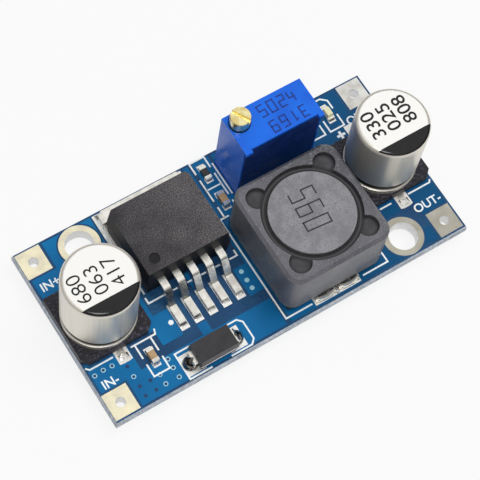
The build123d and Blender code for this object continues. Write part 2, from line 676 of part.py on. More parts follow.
def trimmer_housing():
    """Blue case with feet, two tabs, an open front, a screw well and the wheel's axle."""
    floor, ceiling, element_back, axle_x, axle_z = trimmer_sizes()
    screw_y = TRIMMER_DEPTH - SCREW_Y
    depth = (FRONT_RECESS, TRIMMER_DEPTH)
    case = block((0, TRIMMER_LENGTH), depth, (TRIMMER_STANDOFF, TRIMMER_TOP))
    right = TRIMMER_LENGTH - TRIMMER_FOOT_LENGTH
    case += block((0, TRIMMER_FOOT_LENGTH), depth, (0, TRIMMER_STANDOFF))
    case += block((right, TRIMMER_LENGTH), depth, (0, TRIMMER_STANDOFF))
    tab_z = (TRIMMER_TOP - TRIMMER_TAB_HEIGHT, TRIMMER_TOP)
    case += block((0, TRIMMER_TAB_LEFT), (0, FRONT_RECESS), tab_z)
    case += block((TRIMMER_LENGTH - TRIMMER_TAB_RIGHT, TRIMMER_LENGTH), (0, FRONT_RECESS), tab_z)
    opening_z = (floor, TRIMMER_TOP - TRIMMER_TOP_LIP)
    cover_x = (TRIMMER_FRONT_EDGE, TRIMMER_LENGTH - TRIMMER_FRONT_EDGE)
    case -= block(cover_x, (FRONT_RECESS, FRONT_RECESS + COVER_THICKNESS), opening_z)
    element_x = (TRIMMER_END_WALL, TRIMMER_LENGTH - TRIMMER_END_WALL)
    case -= block(element_x, (FRONT_RECESS, element_back), opening_z)
    room_x = (TRIMMER_WALL, TRIMMER_LENGTH - TRIMMER_WALL)
    back = TRIMMER_DEPTH - TRIMMER_BACK_WALL
    case -= block(room_x, (element_back, back), (floor, ceiling))
    case -= post(SCREW_X, screw_y, SCREW_WELL_R, (TRIMMER_TOP - SCREW_WELL_DEPTH, TRIMMER_TOP))
    case -= post(SCREW_X, screw_y, SCREW_NECK_R + RUNNING, (ceiling, TRIMMER_TOP))
    case -= post(SCREW_X, screw_y, SEAL_WELL_R, (ceiling, ceiling + SEAL_WELL_DEPTH))
    case -= post(SCREW_X, screw_y, SCREW_PIVOT_R + RUNNING, (floor - PIVOT_DEPTH, floor))
    for x, y in pin_places():
        pin_x = x - TRIMMER_X
        case -= post(pin_x, PIN_FRONT, PIN_R + SEATING, (TRIMMER_STANDOFF, floor))
    axle_low = element_back + ROOM
    axle = Plane.XZ * Pos(axle_x, axle_z) * Circle(AXLE_R)
    return case + Pos(0, back, 0) * extrude(axle, back - axle_low)


def trimmer_plate(wall, thickness, front):
    """A flat plate across the case's open front, between walls of a thickness."""
    floor, ceiling, element_back, axle_x, axle_z = trimmer_sizes()
    x_range = (wall + SEATING, TRIMMER_LENGTH - wall - SEATING)
    z_range = (floor + SEATING, TRIMMER_TOP - TRIMMER_TOP_LIP - SEATING)
    return block(x_range, (front, front + thickness), z_range)


def trimmer_screw():
    """Brass screw: slotted head, sealed neck, collar, worm thread and lower pivot."""
    floor, ceiling, element_back, axle_x, axle_z = trimmer_sizes()
    seat = TRIMMER_TOP - SCREW_WELL_DEPTH + SEATING
    head_top = TRIMMER_TOP + SCREW_HEAD_PROUD
    head = post(0, 0, SCREW_HEAD_R, (seat, head_top))
    head = chamfer(head.edges().group_by(Axis.Z)[-1], RUNNING)
    slot_half = SCREW_SLOT_WIDTH / 2
    slot_z = (head_top - SCREW_SLOT_DEPTH, head_top)
    slot = block((-SCREW_HEAD_R, SCREW_HEAD_R), (-slot_half, slot_half), slot_z)
    head -= Rot(0, 0, SCREW_SLOT_ANGLE) * slot
    thread_height = WORM_TURNS * worm_pitch()
    thread_top = axle_z + thread_height / 2 + worm_pitch()
    neck = post(0, 0, SCREW_NECK_R, (ceiling, seat))
    collar = post(0, 0, SCREW_COLLAR_R, (thread_top, ceiling - RUNNING))
    root = post(0, 0, WORM_ROOT_R, (floor + RUNNING, thread_top))
    pivot = post(0, 0, SCREW_PIVOT_R, (floor - PIVOT_DEPTH + RUNNING, floor + RUNNING))
    neck += post(0, 0, SCREW_NECK_R, (ceiling - RUNNING, ceiling))
    return head + neck + collar + root + worm_thread(axle_z) + pivot


def worm_thread(axle_z):
    """Helical thread of a trapezoid section, placed so that a wheel's tooth meets a gap."""
    pitch = worm_pitch()
    turns_below = WORM_TURNS / 2
    start = axle_z - (turns_below // 1 + 0.5) * pitch
    path = Pos(0, 0, start) * Helix(pitch, WORM_TURNS * pitch, WORM_ROOT_R)
    root_half = pitch * (2 * TOOTH_SHARE - TOOTH_TIP_SHARE) / 2
    tip_half = pitch * TOOTH_TIP_SHARE / 2
    sunk = WORM_ROOT_R - RUNNING
    outline = Polyline(
        (sunk, -root_half), (WORM_R, -tip_half), (WORM_R, tip_half), (sunk, root_half), close=True
    )
    section = Plane.XZ * Pos(0, start) * make_face(outline)
    return sweep(section, path=path, is_frenet=True)


def wheel_tooth():
    """One tooth of the wheel, leaning by the thread's lead, on the side of the worm."""
    pitch = worm_pitch()
    root_half = pitch * (2 * TOOTH_SHARE - TOOTH_TIP_SHARE) / 2
    tip_half = pitch * TOOTH_TIP_SHARE / 2
    root_r = WHEEL_PITCH_R - WHEEL_DEDENDUM
    tip_r = WHEEL_PITCH_R + WHEEL_ADDENDUM
    outline = Polyline(
        (RUNNING - root_r, -root_half), (-tip_r, -tip_half), (-tip_r, tip_half), (RUNNING - root_r, root_half),
        close=True,
    )
    flank = extrude(Plane.XZ * make_face(outline), WHEEL_THICKNESS / 2, both=True)
    worm_pitch_r = WORM_ROOT_R + WHEEL_ADDENDUM + RUNNING
    lead_angle = degrees(atan(pitch / (2 * pi * worm_pitch_r)))
    return Rot(lead_angle, 0, 0) * flank


def trimmer_wheel():
    """Worm wheel with a long hub on the axle, about the origin and along Y."""
    root_r = WHEEL_PITCH_R - WHEEL_DEDENDUM
    half = WHEEL_THICKNESS / 2
    wheel = extrude(Plane.XZ * Circle(root_r), half, both=True)
    wheel += extrude(Plane.XZ * Circle(WHEEL_HUB_R), hub_length())
    tooth = wheel_tooth()
    wheel += [Rot(0, i * 360 / WHEEL_TEETH, 0) * tooth for i in range(WHEEL_TEETH)]
    return wheel - extrude(Plane.XZ * Circle(AXLE_R + RUNNING), hub_length(), both=True)


def trimmer_wiper():
    """Spring contact on the hub: a washer with one arm that reaches the track."""
    washer = Circle(WHEEL_HUB_R) + Pos(0, -WIPER_REACH / 2) * Rectangle(WIPER_ARM_WIDTH, WIPER_REACH)
    plate = extrude(Plane.XZ * washer, WIPER_THICKNESS)
    tip_z = -WIPER_REACH + WIPER_ARM_WIDTH / 2
    tip_end = SEATING - WIPER_THICKNESS - WIPER_STANDOFF
    tip = block((-WIPER_ARM_WIDTH / 2, WIPER_ARM_WIDTH / 2), (tip_end, 0), (-WIPER_REACH, tip_z))
    return plate + tip - extrude(Plane.XZ * Circle(AXLE_R + RUNNING), WIPER_THICKNESS, both=True)


def trimmer_pin(x):
    """Round pin from below the board up into the case, bent forwards to the element."""
    floor, ceiling, element_back, axle_x, axle_z = trimmer_sizes()
    shelf = TRIMMER_STANDOFF + PIN_SHELF
    bottom = -BOARD_THICKNESS - PIN_BELOW
    upright = post(x, PIN_FRONT, PIN_R, (bottom, shelf))
    reach = block(
        (x - PIN_R, x + PIN_R), (element_back, PIN_FRONT + PIN_R), (shelf - PIN_R, shelf + PIN_R)
    )
    return upright + reach


def pin_solder():
    """Solder cone round a pin on the underside of the board."""
    cone = Pos(0, 0, -PLATING - SOLDER_HEIGHT / 2) * Cone(SOLDER_TIP_R, PIN_LAND_R, SOLDER_HEIGHT)
    return cone - post(0, 0, PIN_R + SEATING, (-PLATING - SOLDER_HEIGHT, -PLATING))


def trimmer_nodes():
    floor, ceiling, element_back, axle_x, axle_z = trimmer_sizes()
    screw_y = TRIMMER_DEPTH - SCREW_Y
    ring_r = (SCREW_NECK_R + RUNNING + SEAL_WELL_R) / 2
    ring_wire = (SEAL_WELL_R - SCREW_NECK_R - RUNNING) / 2 - SEATING
    seal_z = ceiling + SEAL_WELL_DEPTH - ring_wire - SEATING
    pieces = {
        "trimmer_housing": trimmer_housing(),
        "trimmer_cover": trimmer_plate(TRIMMER_FRONT_EDGE, COVER_THICKNESS, FRONT_RECESS),
        "trimmer_element": trimmer_plate(
            TRIMMER_END_WALL, ELEMENT_THICKNESS, FRONT_RECESS + COVER_THICKNESS
        ),
        "trimmer_seal_ring": Pos(SCREW_X, screw_y, seal_z) * Torus(ring_r, ring_wire),
        "trimmer_screw": Pos(SCREW_X, screw_y, 0) * trimmer_screw(),
        "trimmer_wheel": Pos(axle_x, screw_y, axle_z) * trimmer_wheel(),
        "trimmer_wiper": Pos(axle_x, screw_y - hub_length(), axle_z) * trimmer_wiper(),
    }
    for i, (x, y) in enumerate(pin_places()):
        pieces["trimmer_pin_" + str(i + 1)] = trimmer_pin(x - TRIMMER_X)
    place = Pos(TRIMMER_X, TRIMMER_Y, BOARD_THICKNESS)
    nodes = {name: place * piece for name, piece in pieces.items()}
    cone = pin_solder()
    nodes["trimmer_solder"] = Compound(children=[Pos(x, y, 0) * cone for x, y in pin_places()])
    return nodes


def diode_terminal(side):
    """Strip that leaves the body's end, turns down and runs back under it."""
    inside = DIODE_LENGTH / 2 - DIODE_STRIP_SUNK
    outside = DIODE_LENGTH / 2 + DIODE_STRIP_PROUD - DIODE_STRIP_THICKNESS / 2
    foot = DIODE_STRIP_THICKNESS / 2
    points = [
        (side * inside, 0, DIODE_PARTING),
        (side * outside, 0, DIODE_PARTING),
        (side * outside, 0, foot),
        (side * (outside - DIODE_STRIP_FOOT), 0, foot),
    ]
    return bent_strip(points, DIODE_STRIP_WIDTH, DIODE_STRIP_THICKNESS, DIODE_STRIP_BEND, (0, 1, 0))


def diode_moulding():
    """Drafted body with its parting line at the strips."""
    face = Rectangle(DIODE_LENGTH, DIODE_WIDTH)
    upper = extrude(face, DIODE_TOP - DIODE_PARTING, taper=DIODE_DRAFT)
    lower = extrude(face, DIODE_PARTING - DIODE_BOTTOM, dir=(0, 0, -1), taper=DIODE_DRAFT)
    return Pos(0, 0, DIODE_PARTING) * (upper + lower)


def diode_nodes():
    cathode = diode_terminal(-1)
    anode = diode_terminal(1)
    gap = DIODE_LENGTH / 2 - DIODE_STRIP_SUNK
    half = DIODE_CHIP_SIZE / 2
    z_half = DIODE_STRIP_THICKNESS / 2
    chip_z = (DIODE_PARTING - z_half, DIODE_PARTING + z_half)
    chip = block((-gap, gap), (-half, half), chip_z)
    pieces = {
        "body": diode_moulding() - cathode - anode - chip,
        "cathode_terminal": cathode,
        "anode_terminal": anode,
        "chip": chip,
    }
    place = Pos(DIODE_X, DIODE_Y, LAND_TOP)
    return {"diode_" + part: place * piece for part, piece in pieces.items()}


def diode_lands():
    outer = DIODE_LENGTH / 2 + DIODE_STRIP_PROUD + DIODE_LAND_PROUD
    inner = outer - DIODE_LAND_LENGTH
    y_range = (DIODE_Y - DIODE_LAND_WIDTH / 2, DIODE_Y + DIODE_LAND_WIDTH / 2)
    left = land((DIODE_X - outer, DIODE_X - inner), y_range)
    right = land((DIODE_X + inner, DIODE_X + outer), y_range)
    return [left, right]


def chip_part(height):
    """Ceramic block and its two plated ends, which wrap five sides."""
    half_x = CHIP_WIDTH / 2
    half_y = CHIP_LENGTH / 2
    skin = CHIP_END_THICKNESS
    body = block(
        (skin - half_x, half_x - skin), (skin - half_y, half_y - skin), (skin, height - skin)
    )
    x_range = (-half_x, half_x)
    front = block(x_range, (-half_y, CHIP_END - half_y), (0, height))
    back = block(x_range, (half_y - CHIP_END, half_y), (0, height))
    return body, Compound(children=[front - body, back - body])


def led_part():
    """Substrate with its plated ends and the clear lens block on it."""
    half_x = CHIP_WIDTH / 2
    half_y = CHIP_LENGTH / 2
    base = block((-half_x, half_x), (-half_y, half_y), (0, LED_BASE_HEIGHT))
    face = Plane.XY.offset(LED_BASE_HEIGHT) * Rectangle(CHIP_WIDTH, LED_LENS_LENGTH)
    lens = extrude(face, LED_LENS_HEIGHT, taper=LED_LENS_DRAFT)
    return base, lens


def chip_nodes():
    chips = {
        "input_chip_capacitor": (INPUT_CHIP, CHIP_CAPACITOR_HEIGHT),
        "feedback_chip_capacitor": (FEEDBACK_CHIP, CHIP_CAPACITOR_HEIGHT),
        "feedback_resistor": (FEEDBACK_RESISTOR, CHIP_RESISTOR_HEIGHT),
        "indicator_resistor": (INDICATOR_RESISTOR, CHIP_RESISTOR_HEIGHT),
    }
    nodes = {}
    for name, ((x, y), height) in chips.items():
        body, ends = chip_part(height)
        nodes[name] = Pos(x, y, LAND_TOP) * body
        nodes[name + "_ends"] = Pos(x, y, LAND_TOP) * ends
    base, lens = led_part()
    place = Pos(INDICATOR_LED[0], INDICATOR_LED[1], LAND_TOP)
    nodes["indicator_led"] = place * base
    nodes["indicator_led_lens"] = place * lens
    return nodes


def chip_lands():
    lands = []
    half_x = CHIP_WIDTH / 2 + CHIP_END_THICKNESS
    inner = CHIP_LENGTH / 2 - CHIP_END
    outer = CHIP_LENGTH / 2 + CHIP_LAND_PROUD
    for x, y in (INPUT_CHIP, FEEDBACK_CHIP, FEEDBACK_RESISTOR, INDICATOR_RESISTOR, INDICATOR_LED):
        x_range = (x - half_x, x + half_x)
        lands.append(land(x_range, (y - outer, y - inner)))
        lands.append(land(x_range, (y + inner, y + outer)))
    return lands


def pin_lands():
    return [plated_hole(x, y, PIN_HOLE_R, Circle(PIN_LAND_R)) for x, y in pin_places()]


def solder_lands():
    """Every small land that a part is soldered to."""
    lands = regulator_lands() + diode_lands() + inductor_lands() + chip_lands() + pin_lands()
    for x in (CAPACITOR_IN_X, CAPACITOR_OUT_X):
        lands += capacitor_lands(x)
    return {"solder_lands": Compound(children=lands)}


def build():
    nodes = board_nodes()
    nodes |= solder_lands()
    nodes |= regulator_nodes()
    nodes |= capacitor_nodes("input_capacitor", CAPACITOR_IN_X)
    nodes |= capacitor_nodes("output_capacitor", CAPACITOR_OUT_X)
    nodes |= inductor_nodes()
    nodes |= trimmer_nodes()
    nodes |= diode_nodes()
    nodes |= chip_nodes()
    return nodes


os.makedirs("parts", exist_ok=True)
for node_name, shape in build().items():
    export_step(shape, "parts/" + node_name + ".step")
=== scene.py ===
import json
import math

import bpy
import numpy as np
from mathutils import Matrix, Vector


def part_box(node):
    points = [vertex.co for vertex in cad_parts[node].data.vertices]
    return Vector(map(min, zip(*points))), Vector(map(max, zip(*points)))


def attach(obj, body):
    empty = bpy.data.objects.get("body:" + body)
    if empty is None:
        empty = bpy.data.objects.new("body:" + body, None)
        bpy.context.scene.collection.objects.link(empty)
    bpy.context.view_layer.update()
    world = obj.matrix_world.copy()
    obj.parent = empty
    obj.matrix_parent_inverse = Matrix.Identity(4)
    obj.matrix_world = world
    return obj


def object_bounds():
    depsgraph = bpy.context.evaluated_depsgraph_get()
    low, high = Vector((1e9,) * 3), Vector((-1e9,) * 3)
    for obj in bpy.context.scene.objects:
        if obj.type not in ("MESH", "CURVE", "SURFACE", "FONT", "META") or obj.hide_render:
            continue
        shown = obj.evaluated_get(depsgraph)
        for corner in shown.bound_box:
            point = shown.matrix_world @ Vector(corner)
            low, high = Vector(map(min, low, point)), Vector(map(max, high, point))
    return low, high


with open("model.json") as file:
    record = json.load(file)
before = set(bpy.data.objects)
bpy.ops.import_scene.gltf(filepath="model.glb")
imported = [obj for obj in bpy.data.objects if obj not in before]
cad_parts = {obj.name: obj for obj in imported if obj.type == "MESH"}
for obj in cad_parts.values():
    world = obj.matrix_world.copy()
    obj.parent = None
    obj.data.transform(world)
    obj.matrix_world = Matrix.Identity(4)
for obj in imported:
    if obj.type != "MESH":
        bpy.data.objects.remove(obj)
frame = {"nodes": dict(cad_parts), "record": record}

MM = 0.001
cad_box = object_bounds()


# Places taken from the model

def box(node):
    """Lowest and highest corners of a node, in millimetres."""
    low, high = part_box(node)
    return np.array(low) / MM, np.array(high) / MM


COPPER_PROUD = 0.035                   # of the masked copper over the laminate
LAND_TOP = box("regulator_lead_1")[0][2]
BOARD_TOP = LAND_TOP - 0.05            # face of the laminate between the plated lands
COPPER_TOP = BOARD_TOP + COPPER_PROUD
INK_TOP = COPPER_TOP + 0.025
UNDERSIDE = 0.0
SUNK = 0.02                            # a film or fillet reaches this far into what carries it
REGULATOR_LEADS = [-10.35, -8.65, -6.95, -5.25, -3.55]      # middles of the feet along x
INDUCTOR = (5.5, -3.3)
POCKET_OFFSET = 4.1                    # of a glue pocket from the inductor's middle, each way
GROOVE_CREST_R = 5.02                  # middle of the glue in the groove round the disc
DIMPLE = (-10.25, 1.4)                 # of the ejector, on the regulator's top
CANS = ["input_capacitor_can", "output_capacitor_can"]
CAN_R = 4.0
CAN_CROWN = 0.55                       # radius of a can's shoulder
BEAD = 1.35                            # from a can's foot up to the middle of its rolled bead
IN_HOLE = (-15.05, 8.12)               # mounting holes at the input and output ends
OUT_HOLE = (15.05, -8.12)


# Surfaces

def skin(loops, joined=False):
    """Points and faces over closed loops of points, an array of loops by points by three.
    Each quad joins a point, its neighbour on the loop and the same two on the next loop. The end
    loops are filled, or joined to each other where the skin closes on itself as a ring does."""
    rows, columns = loops.shape[:2]
    index = np.arange(rows * columns).reshape(rows, columns)
    around = np.vstack([index, index[:1]]) if joined else index
    low, high = around[:-1], around[1:]
    quads = np.stack([low, np.roll(low, -1, 1), np.roll(high, -1, 1), high], -1)
    faces = quads.reshape(-1, 4).tolist()
    if not joined:
        faces += [index[0, ::-1].tolist(), index[-1].tolist()]
    return loops.reshape(-1, 3), faces


def raised(outline, height):
    """A plan outline with one height, or a height for each of its points."""
    outline = np.asarray(outline, float)
    return np.column_stack([outline, np.broadcast_to(height, len(outline))])


def plate(outline, low, high):
    """A plan outline, listed anticlockwise, carried straight up from low to high."""
    return skin(np.stack([raised(outline, low), raised(outline, high)]))


def bar(path, width, low, high):
    """A strip of rectangular section along a plan path. At each point the section stands on the
    bisector of the two runs, widened by one over the cosine of half the turn, so corners are
    mitred."""
    path = np.asarray(path, float)
    runs = np.diff(path, axis=0)
    runs /= np.linalg.norm(runs, axis=1)[:, None]
    ahead = np.vstack([runs, runs[-1:]])
    behind = np.vstack([runs[:1], runs])
    middle = ahead + behind
    middle /= np.linalg.norm(middle, axis=1)[:, None]
    reach = width / 2 / np.sum(middle * ahead, axis=1)
    side = np.column_stack([-middle[:, 1], middle[:, 0]]) * reach[:, None]
    left, right = path + side, path - side
    corners = [raised(left, low), raised(left, high), raised(right, high), raised(right, low)]
    return skin(np.stack(corners, 1))


def circle(x, y, radius, count=32, start=0.0, end=360.0):
    """Points on an arc from start to end in degrees, anticlockwise where end is the greater. A
    whole turn leaves out its last point, which is its first."""
    whole = end - start == 360.0
    angle = np.radians(np.linspace(start, end, count, endpoint=not whole))
    return np.column_stack([x + radius * np.cos(angle), y + radius * np.sin(angle)])


def rounded(x, y, width, depth, fullness=4.0, count=32):
    """A superellipse: the cosine and sine of the angle to the power of two over its fullness, 2
    for an ellipse and more for a squarer form."""
    angle = np.linspace(0, 2 * np.pi, count, endpoint=False)
    across, along = np.cos(angle), np.sin(angle)
    power = 2 / fullness
    return np.column_stack([
        x + width / 2 * np.sign(across) * np.abs(across) ** power,
        y + depth / 2 * np.sign(along) * np.abs(along) ** power,
    ])


def ring(x, y, inner, outer, low, high, count=20):
    """A flat ring: its section, listed clockwise from the inner lower corner, carried round."""
    radius = np.array([inner, inner, outer, outer])
    height = np.array([low, high, high, low])
    angle = np.linspace(0, 2 * np.pi, count, endpoint=False)[:, None]
    points = np.stack([
        x + radius * np.cos(angle), y + radius * np.sin(angle), np.broadcast_to(height, (count, 4))
    ], -1)
    return skin(points, joined=True)


def mound(foot, crown, low, high, power, steps=7):
    """Solder between a foot outline and a smaller crown outline. Its height over the way inward,
    from 0 to 1, is that way to a power: above 1 for a hollow fillet, below 1 for a full bead."""
    way = np.linspace(0, 1, steps)
    foot, crown = np.asarray(foot, float), np.asarray(crown, float)
    plan = foot + (crown - foot) * way[:, None, None]
    height = np.broadcast_to(low + (high - low) * way[:, None] ** power, plan.shape[:2])
    return skin(np.concatenate([plan, height[..., None]], -1))


SHARP_ANGLE = 40.0   # degrees between faces, past which their edge stays sharp


def piece(name, skins, material, body="module"):
    """One object in metres from several skins, with its material and body."""
    starts = np.cumsum([0] + [len(points) for points, _ in skins])
    points = np.concatenate([points for points, _ in skins]) * MM
    faces = []
    for start, (_, group) in zip(starts.tolist(), skins):
        faces += [[corner + start for corner in face] for face in group]
    mesh = bpy.data.meshes.new(name)
    mesh.from_pydata(points.tolist(), [], faces)
    mesh.shade_smooth()
    mesh.set_sharp_from_angle(angle=math.radians(SHARP_ANGLE))
    mesh.materials.append(material)
    made = bpy.data.objects.new(name, mesh)
    bpy.context.scene.collection.objects.link(made)
    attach(made, body)


# Figures and letters

# Figures of straight strokes in a cell one wide and two high, as a laser draws them
STROKES = {
    "0": [[(0, 0), (1, 0), (1, 2), (0, 2), (0, -0.08)]],
    "1": [[(0.5, 0), (0.5, 2)], [(0.55, 1.95), (0.1, 1.55)]],
    "2": [[(0, 2), (1, 2), (1, 1.05), (0, 1.05), (0, 0), (1, 0)]],
    "3": [[(0, 2), (1, 2), (1, 0), (0, 0)], [(0.25, 1.05), (1, 1.05)]],
    "4": [[(0, 2), (0, 0.8), (1, 0.8)], [(0.75, 1.6), (0.75, 0)]],
    "5": [[(1, 2), (0, 2), (0, 1.05), (1, 1.05), (1, 0), (0, 0)]],
    "6": [[(1, 2), (0, 2), (0, 0), (1, 0), (1, 1.05), (0, 1.05)]],
    "9": [[(1, 0.95), (0, 0.95), (0, 2), (1, 2), (1, 0), (0, 0)]],
}
STROKE_STEP = 0.003  # by which each stroke of a figure stands above the one before it
CAP_SHARE = 0.73     # of the typeface's size that its figures are tall


def turned(points, angle):
    """Plan points turned about the origin by an angle in degrees."""
    c, s = math.cos(math.radians(angle)), math.sin(math.radians(angle))
    return np.asarray(points, float) @ np.array([[c, s], [-s, c]])


def stroke_figures(text, middle, angle, height, pitch, narrow, weight, low, high):
    """Bars for a line of stroke figures. Each cell is height tall and narrow times half of that
    wide, the cells stand pitch apart, and the line turns by angle about its middle. Each stroke
    stands a step above the one before it, so that no two faces meet in one plane."""
    made = []
    scale = height / 2
    for place, letter in enumerate(text):
        start = (place - (len(text) - 1) / 2) * pitch - scale * narrow / 2
        for layer, stroke in enumerate(STROKES[letter]):
            cell = np.asarray(stroke, float) * [scale * narrow, scale] + [start, -scale]
            top = high + STROKE_STEP * layer
            made.append(bar(turned(cell, angle) + middle, weight, low, top))
    return made


def lettering(text, middle, angle, height, weight, low, high, stretch=1.0):
    """A printed line in the built-in plain typeface, as a closed skin from low to high. Its
    figures are height tall, fattened by weight, and the line is centred on middle."""
    curve = bpy.data.curves.new(text, "FONT")
    curve.body = text
    curve.size = height / CAP_SHARE
    curve.offset = weight
    curve.extrude = (high - low) / 2
    holder = bpy.data.objects.new(text, curve)
    bpy.context.scene.collection.objects.link(holder)
    bpy.context.view_layer.update()
    graph = bpy.context.evaluated_depsgraph_get()
    mesh = bpy.data.meshes.new_from_object(holder.evaluated_get(graph))
    points = np.empty(len(mesh.vertices) * 3)
    mesh.vertices.foreach_get("co", points)
    points = points.reshape(-1, 3)
    faces = [list(face.vertices) for face in mesh.polygons]
    points[:, :2] -= (points[:, :2].min(0) + points[:, :2].max(0)) / 2
    points[:, 0] *= stretch
    plan = turned(points[:, :2], angle) + middle
    bpy.data.objects.remove(holder)
    bpy.data.meshes.remove(mesh)
    return np.column_stack([plan, points[:, 2] + (low + high) / 2]), faces


# Materials

def linear(code):
    """An sRGB hex colour as linear red, green, blue and alpha."""
    parts = [int(code[i:i + 2], 16) / 255 for i in (1, 3, 5)]
    return [c / 12.92 if c <= 0.04045 else ((c + 0.055) / 1.055) ** 2.4 for c in parts] + [1.0]


def add(tree, kind, inputs, out=0, **settings):
    """Adds a node and returns one of its outputs, by number or name. Settings are the node's own
    properties. Inputs, by name or number, are values, hex colours or other nodes' outputs."""
    node = tree.nodes.new(kind)
    for name, value in settings.items():
        setattr(node, name, value)
    for socket, value in inputs.items():
        if isinstance(value, bpy.types.NodeSocket):
            tree.links.new(value, node.inputs[socket])
        else:
            node.inputs[socket].default_value = linear(value) if isinstance(value, str) else value
    return node.outputs[out] if node.outputs else None


def started(name, **sockets):
    """A new material with its Principled shader set, its tree and the place on the object."""
    material = bpy.data.materials.new(name)
    material.use_nodes = True
    tree = material.node_tree
    shader = tree.nodes["Principled BSDF"]
    for socket, value in sockets.items():
        shader.inputs[socket.replace("_", " ")].default_value = value
    return material, tree, shader, add(tree, "ShaderNodeTexCoord", {}, "Object")


def clouds(tree, place, size, low=0.35, high=0.65, detail=2.0):
    """Noise with features of the given millimetres along x, y and z, from 0 where it is at low
    to 1 where it is at high."""
    scaled = {"Vector": place, "Scale": [1 / (MM * wide) for wide in size]}
    scaled = add(tree, "ShaderNodeMapping", scaled)
    field = add(tree, "ShaderNodeTexNoise", {"Vector": scaled, "Scale": 1.0, "Detail": detail})
    return add(tree, "ShaderNodeMapRange", {"Value": field, "From Min": low, "From Max": high})


def ramp(tree, place, axis, start, end, share=1.0):
    """How far a point lies along an axis, from 0 at start to share at end, in millimetres."""
    there = add(tree, "ShaderNodeSeparateXYZ", {0: place}, axis)
    ends = {"From Min": start * MM, "From Max": end * MM, "To Max": share}
    return add(tree, "ShaderNodeMapRange", {"Value": there, **ends})


def beside(tree, value, middle, start, end):
    """0 where a value lies start from its middle, and 1 where it lies end from it, on either
    side, all in millimetres."""
    away = add(tree, "ShaderNodeMath", {0: value, 1: middle * MM}, operation="SUBTRACT")
    away = add(tree, "ShaderNodeMath", {0: away}, operation="ABSOLUTE")
    ends = {"From Min": start * MM, "From Max": end * MM}
    return add(tree, "ShaderNodeMapRange", {"Value": away, **ends})


def from_axis(tree, place, x, y):
    """A point's plan place seen from an upright axis, and how far from the axis it lies."""
    centred = {"Vector": place, "Location": (-x * MM, -y * MM, 0.0), "Scale": (1, 1, 0)}
    centred = add(tree, "ShaderNodeMapping", centred)
    return centred, add(tree, "ShaderNodeVectorMath", {0: centred}, "Value", operation="LENGTH")


def coat(tree, shader, colour, field, rough):
    """Gives the shader its colour, and a roughness that goes from the first of rough to the
    second as the field goes from 0 to 1."""
    ends = {"To Min": rough[0], "To Max": rough[1]}
    sheen = add(tree, "ShaderNodeMapRange", {"Value": field, **ends})
    tree.links.new(colour, shader.inputs["Base Color"])
    tree.links.new(sheen, shader.inputs["Roughness"])


def relief(tree, shader, *heights):
    """Bumps the shader with each pair of a 0 to 1 field and its height in millimetres."""
    normal = None
    for field, height in heights:
        inputs = {"Strength": 1.0, "Distance": height * MM, "Height": field}
        if normal is not None:
            inputs["Normal"] = normal
        normal = add(tree, "ShaderNodeBump", inputs)
    tree.links.new(normal, shader.inputs["Normal"])


def surface(name, base, drift, patch, rough, grain, height, speck=None, **sockets):
    """A finish whose colour drifts from base to drift in patches of patch millimetres, and its
    roughness with them between the two of rough. A grain of that size stands height high, and
    where speck is given its crests are flecked with that colour."""
    material, tree, shader, place = started(name, **sockets)
    patches = clouds(tree, place, (patch,) * 3)
    crests = clouds(tree, place, (grain,) * 3, 0.3, 0.7)
    colour = add(tree, "ShaderNodeMix", {0: patches, 6: base, 7: drift}, 2, data_type="RGBA")
    if speck:
        flecks = clouds(tree, place, (grain,) * 3, 0.54, 0.66)
        colour = add(tree, "ShaderNodeMix", {0: flecks, 6: colour, 7: speck}, 2, data_type="RGBA")
    coat(tree, shader, colour, patches, rough)
    relief(tree, shader, (crests, height))
    return material


def glass_fibre_board():
    """FR-4 laminate under glossy blue epoxy mask. The faces carry the mask, with the cloth's
    weave just showing. The scored and snapped edges are bare: pale, dull, layered fibre."""
    material, tree, shader, place = started("fr4_laminate_under_blue_mask", Specular_IOR_Level=0.2)
    height = add(tree, "ShaderNodeSeparateXYZ", {0: place}, "Z")
    half = BOARD_TOP / 2
    face = beside(tree, height, half, half - 0.03, half - 0.01)
    drift = clouds(tree, place, (5, 5, 5))
    mask = add(tree, "ShaderNodeMix", {0: drift, 6: "#1D446C", 7: "#24527A"}, 2, data_type="RGBA")
    layers = clouds(tree, place, (3.0, 3.0, 0.16), 0.4, 0.6)
    snapped = clouds(tree, place, (0.35, 0.35, 0.5), 0.4, 0.7)
    edge = add(tree, "ShaderNodeMix", {0: layers, 6: "#CFD8E4", 7: "#A9AFB9"}, 2, data_type="RGBA")
    edge = add(tree, "ShaderNodeMix", {0: snapped, 6: edge, 7: "#DDE4EC"}, 2, data_type="RGBA")
    colour = add(tree, "ShaderNodeMix", {0: face, 6: edge, 7: mask}, 2, data_type="RGBA")
    coat(tree, shader, colour, face, (0.8, 0.35))
    relief(tree, shader, (weave(tree, place), 0.004), (snapped, 0.03))
    return material


WAVE = 2 * math.pi / 20  # over the spacing of its waves, this gives a wave texture's scale


def weave(tree, place):
    """The laminate's cloth under the mask: bundles 0.45 mm apart along x and y."""
    scale = WAVE / (0.45 * MM)
    warp = add(tree, "ShaderNodeTexWave", {"Vector": place, "Scale": scale}, 1, bands_direction="X")
    weft = add(tree, "ShaderNodeTexWave", {"Vector": place, "Scale": scale}, 1, bands_direction="Y")
    return add(tree, "ShaderNodeMath", {0: warp, 1: weft}, operation="MULTIPLY")


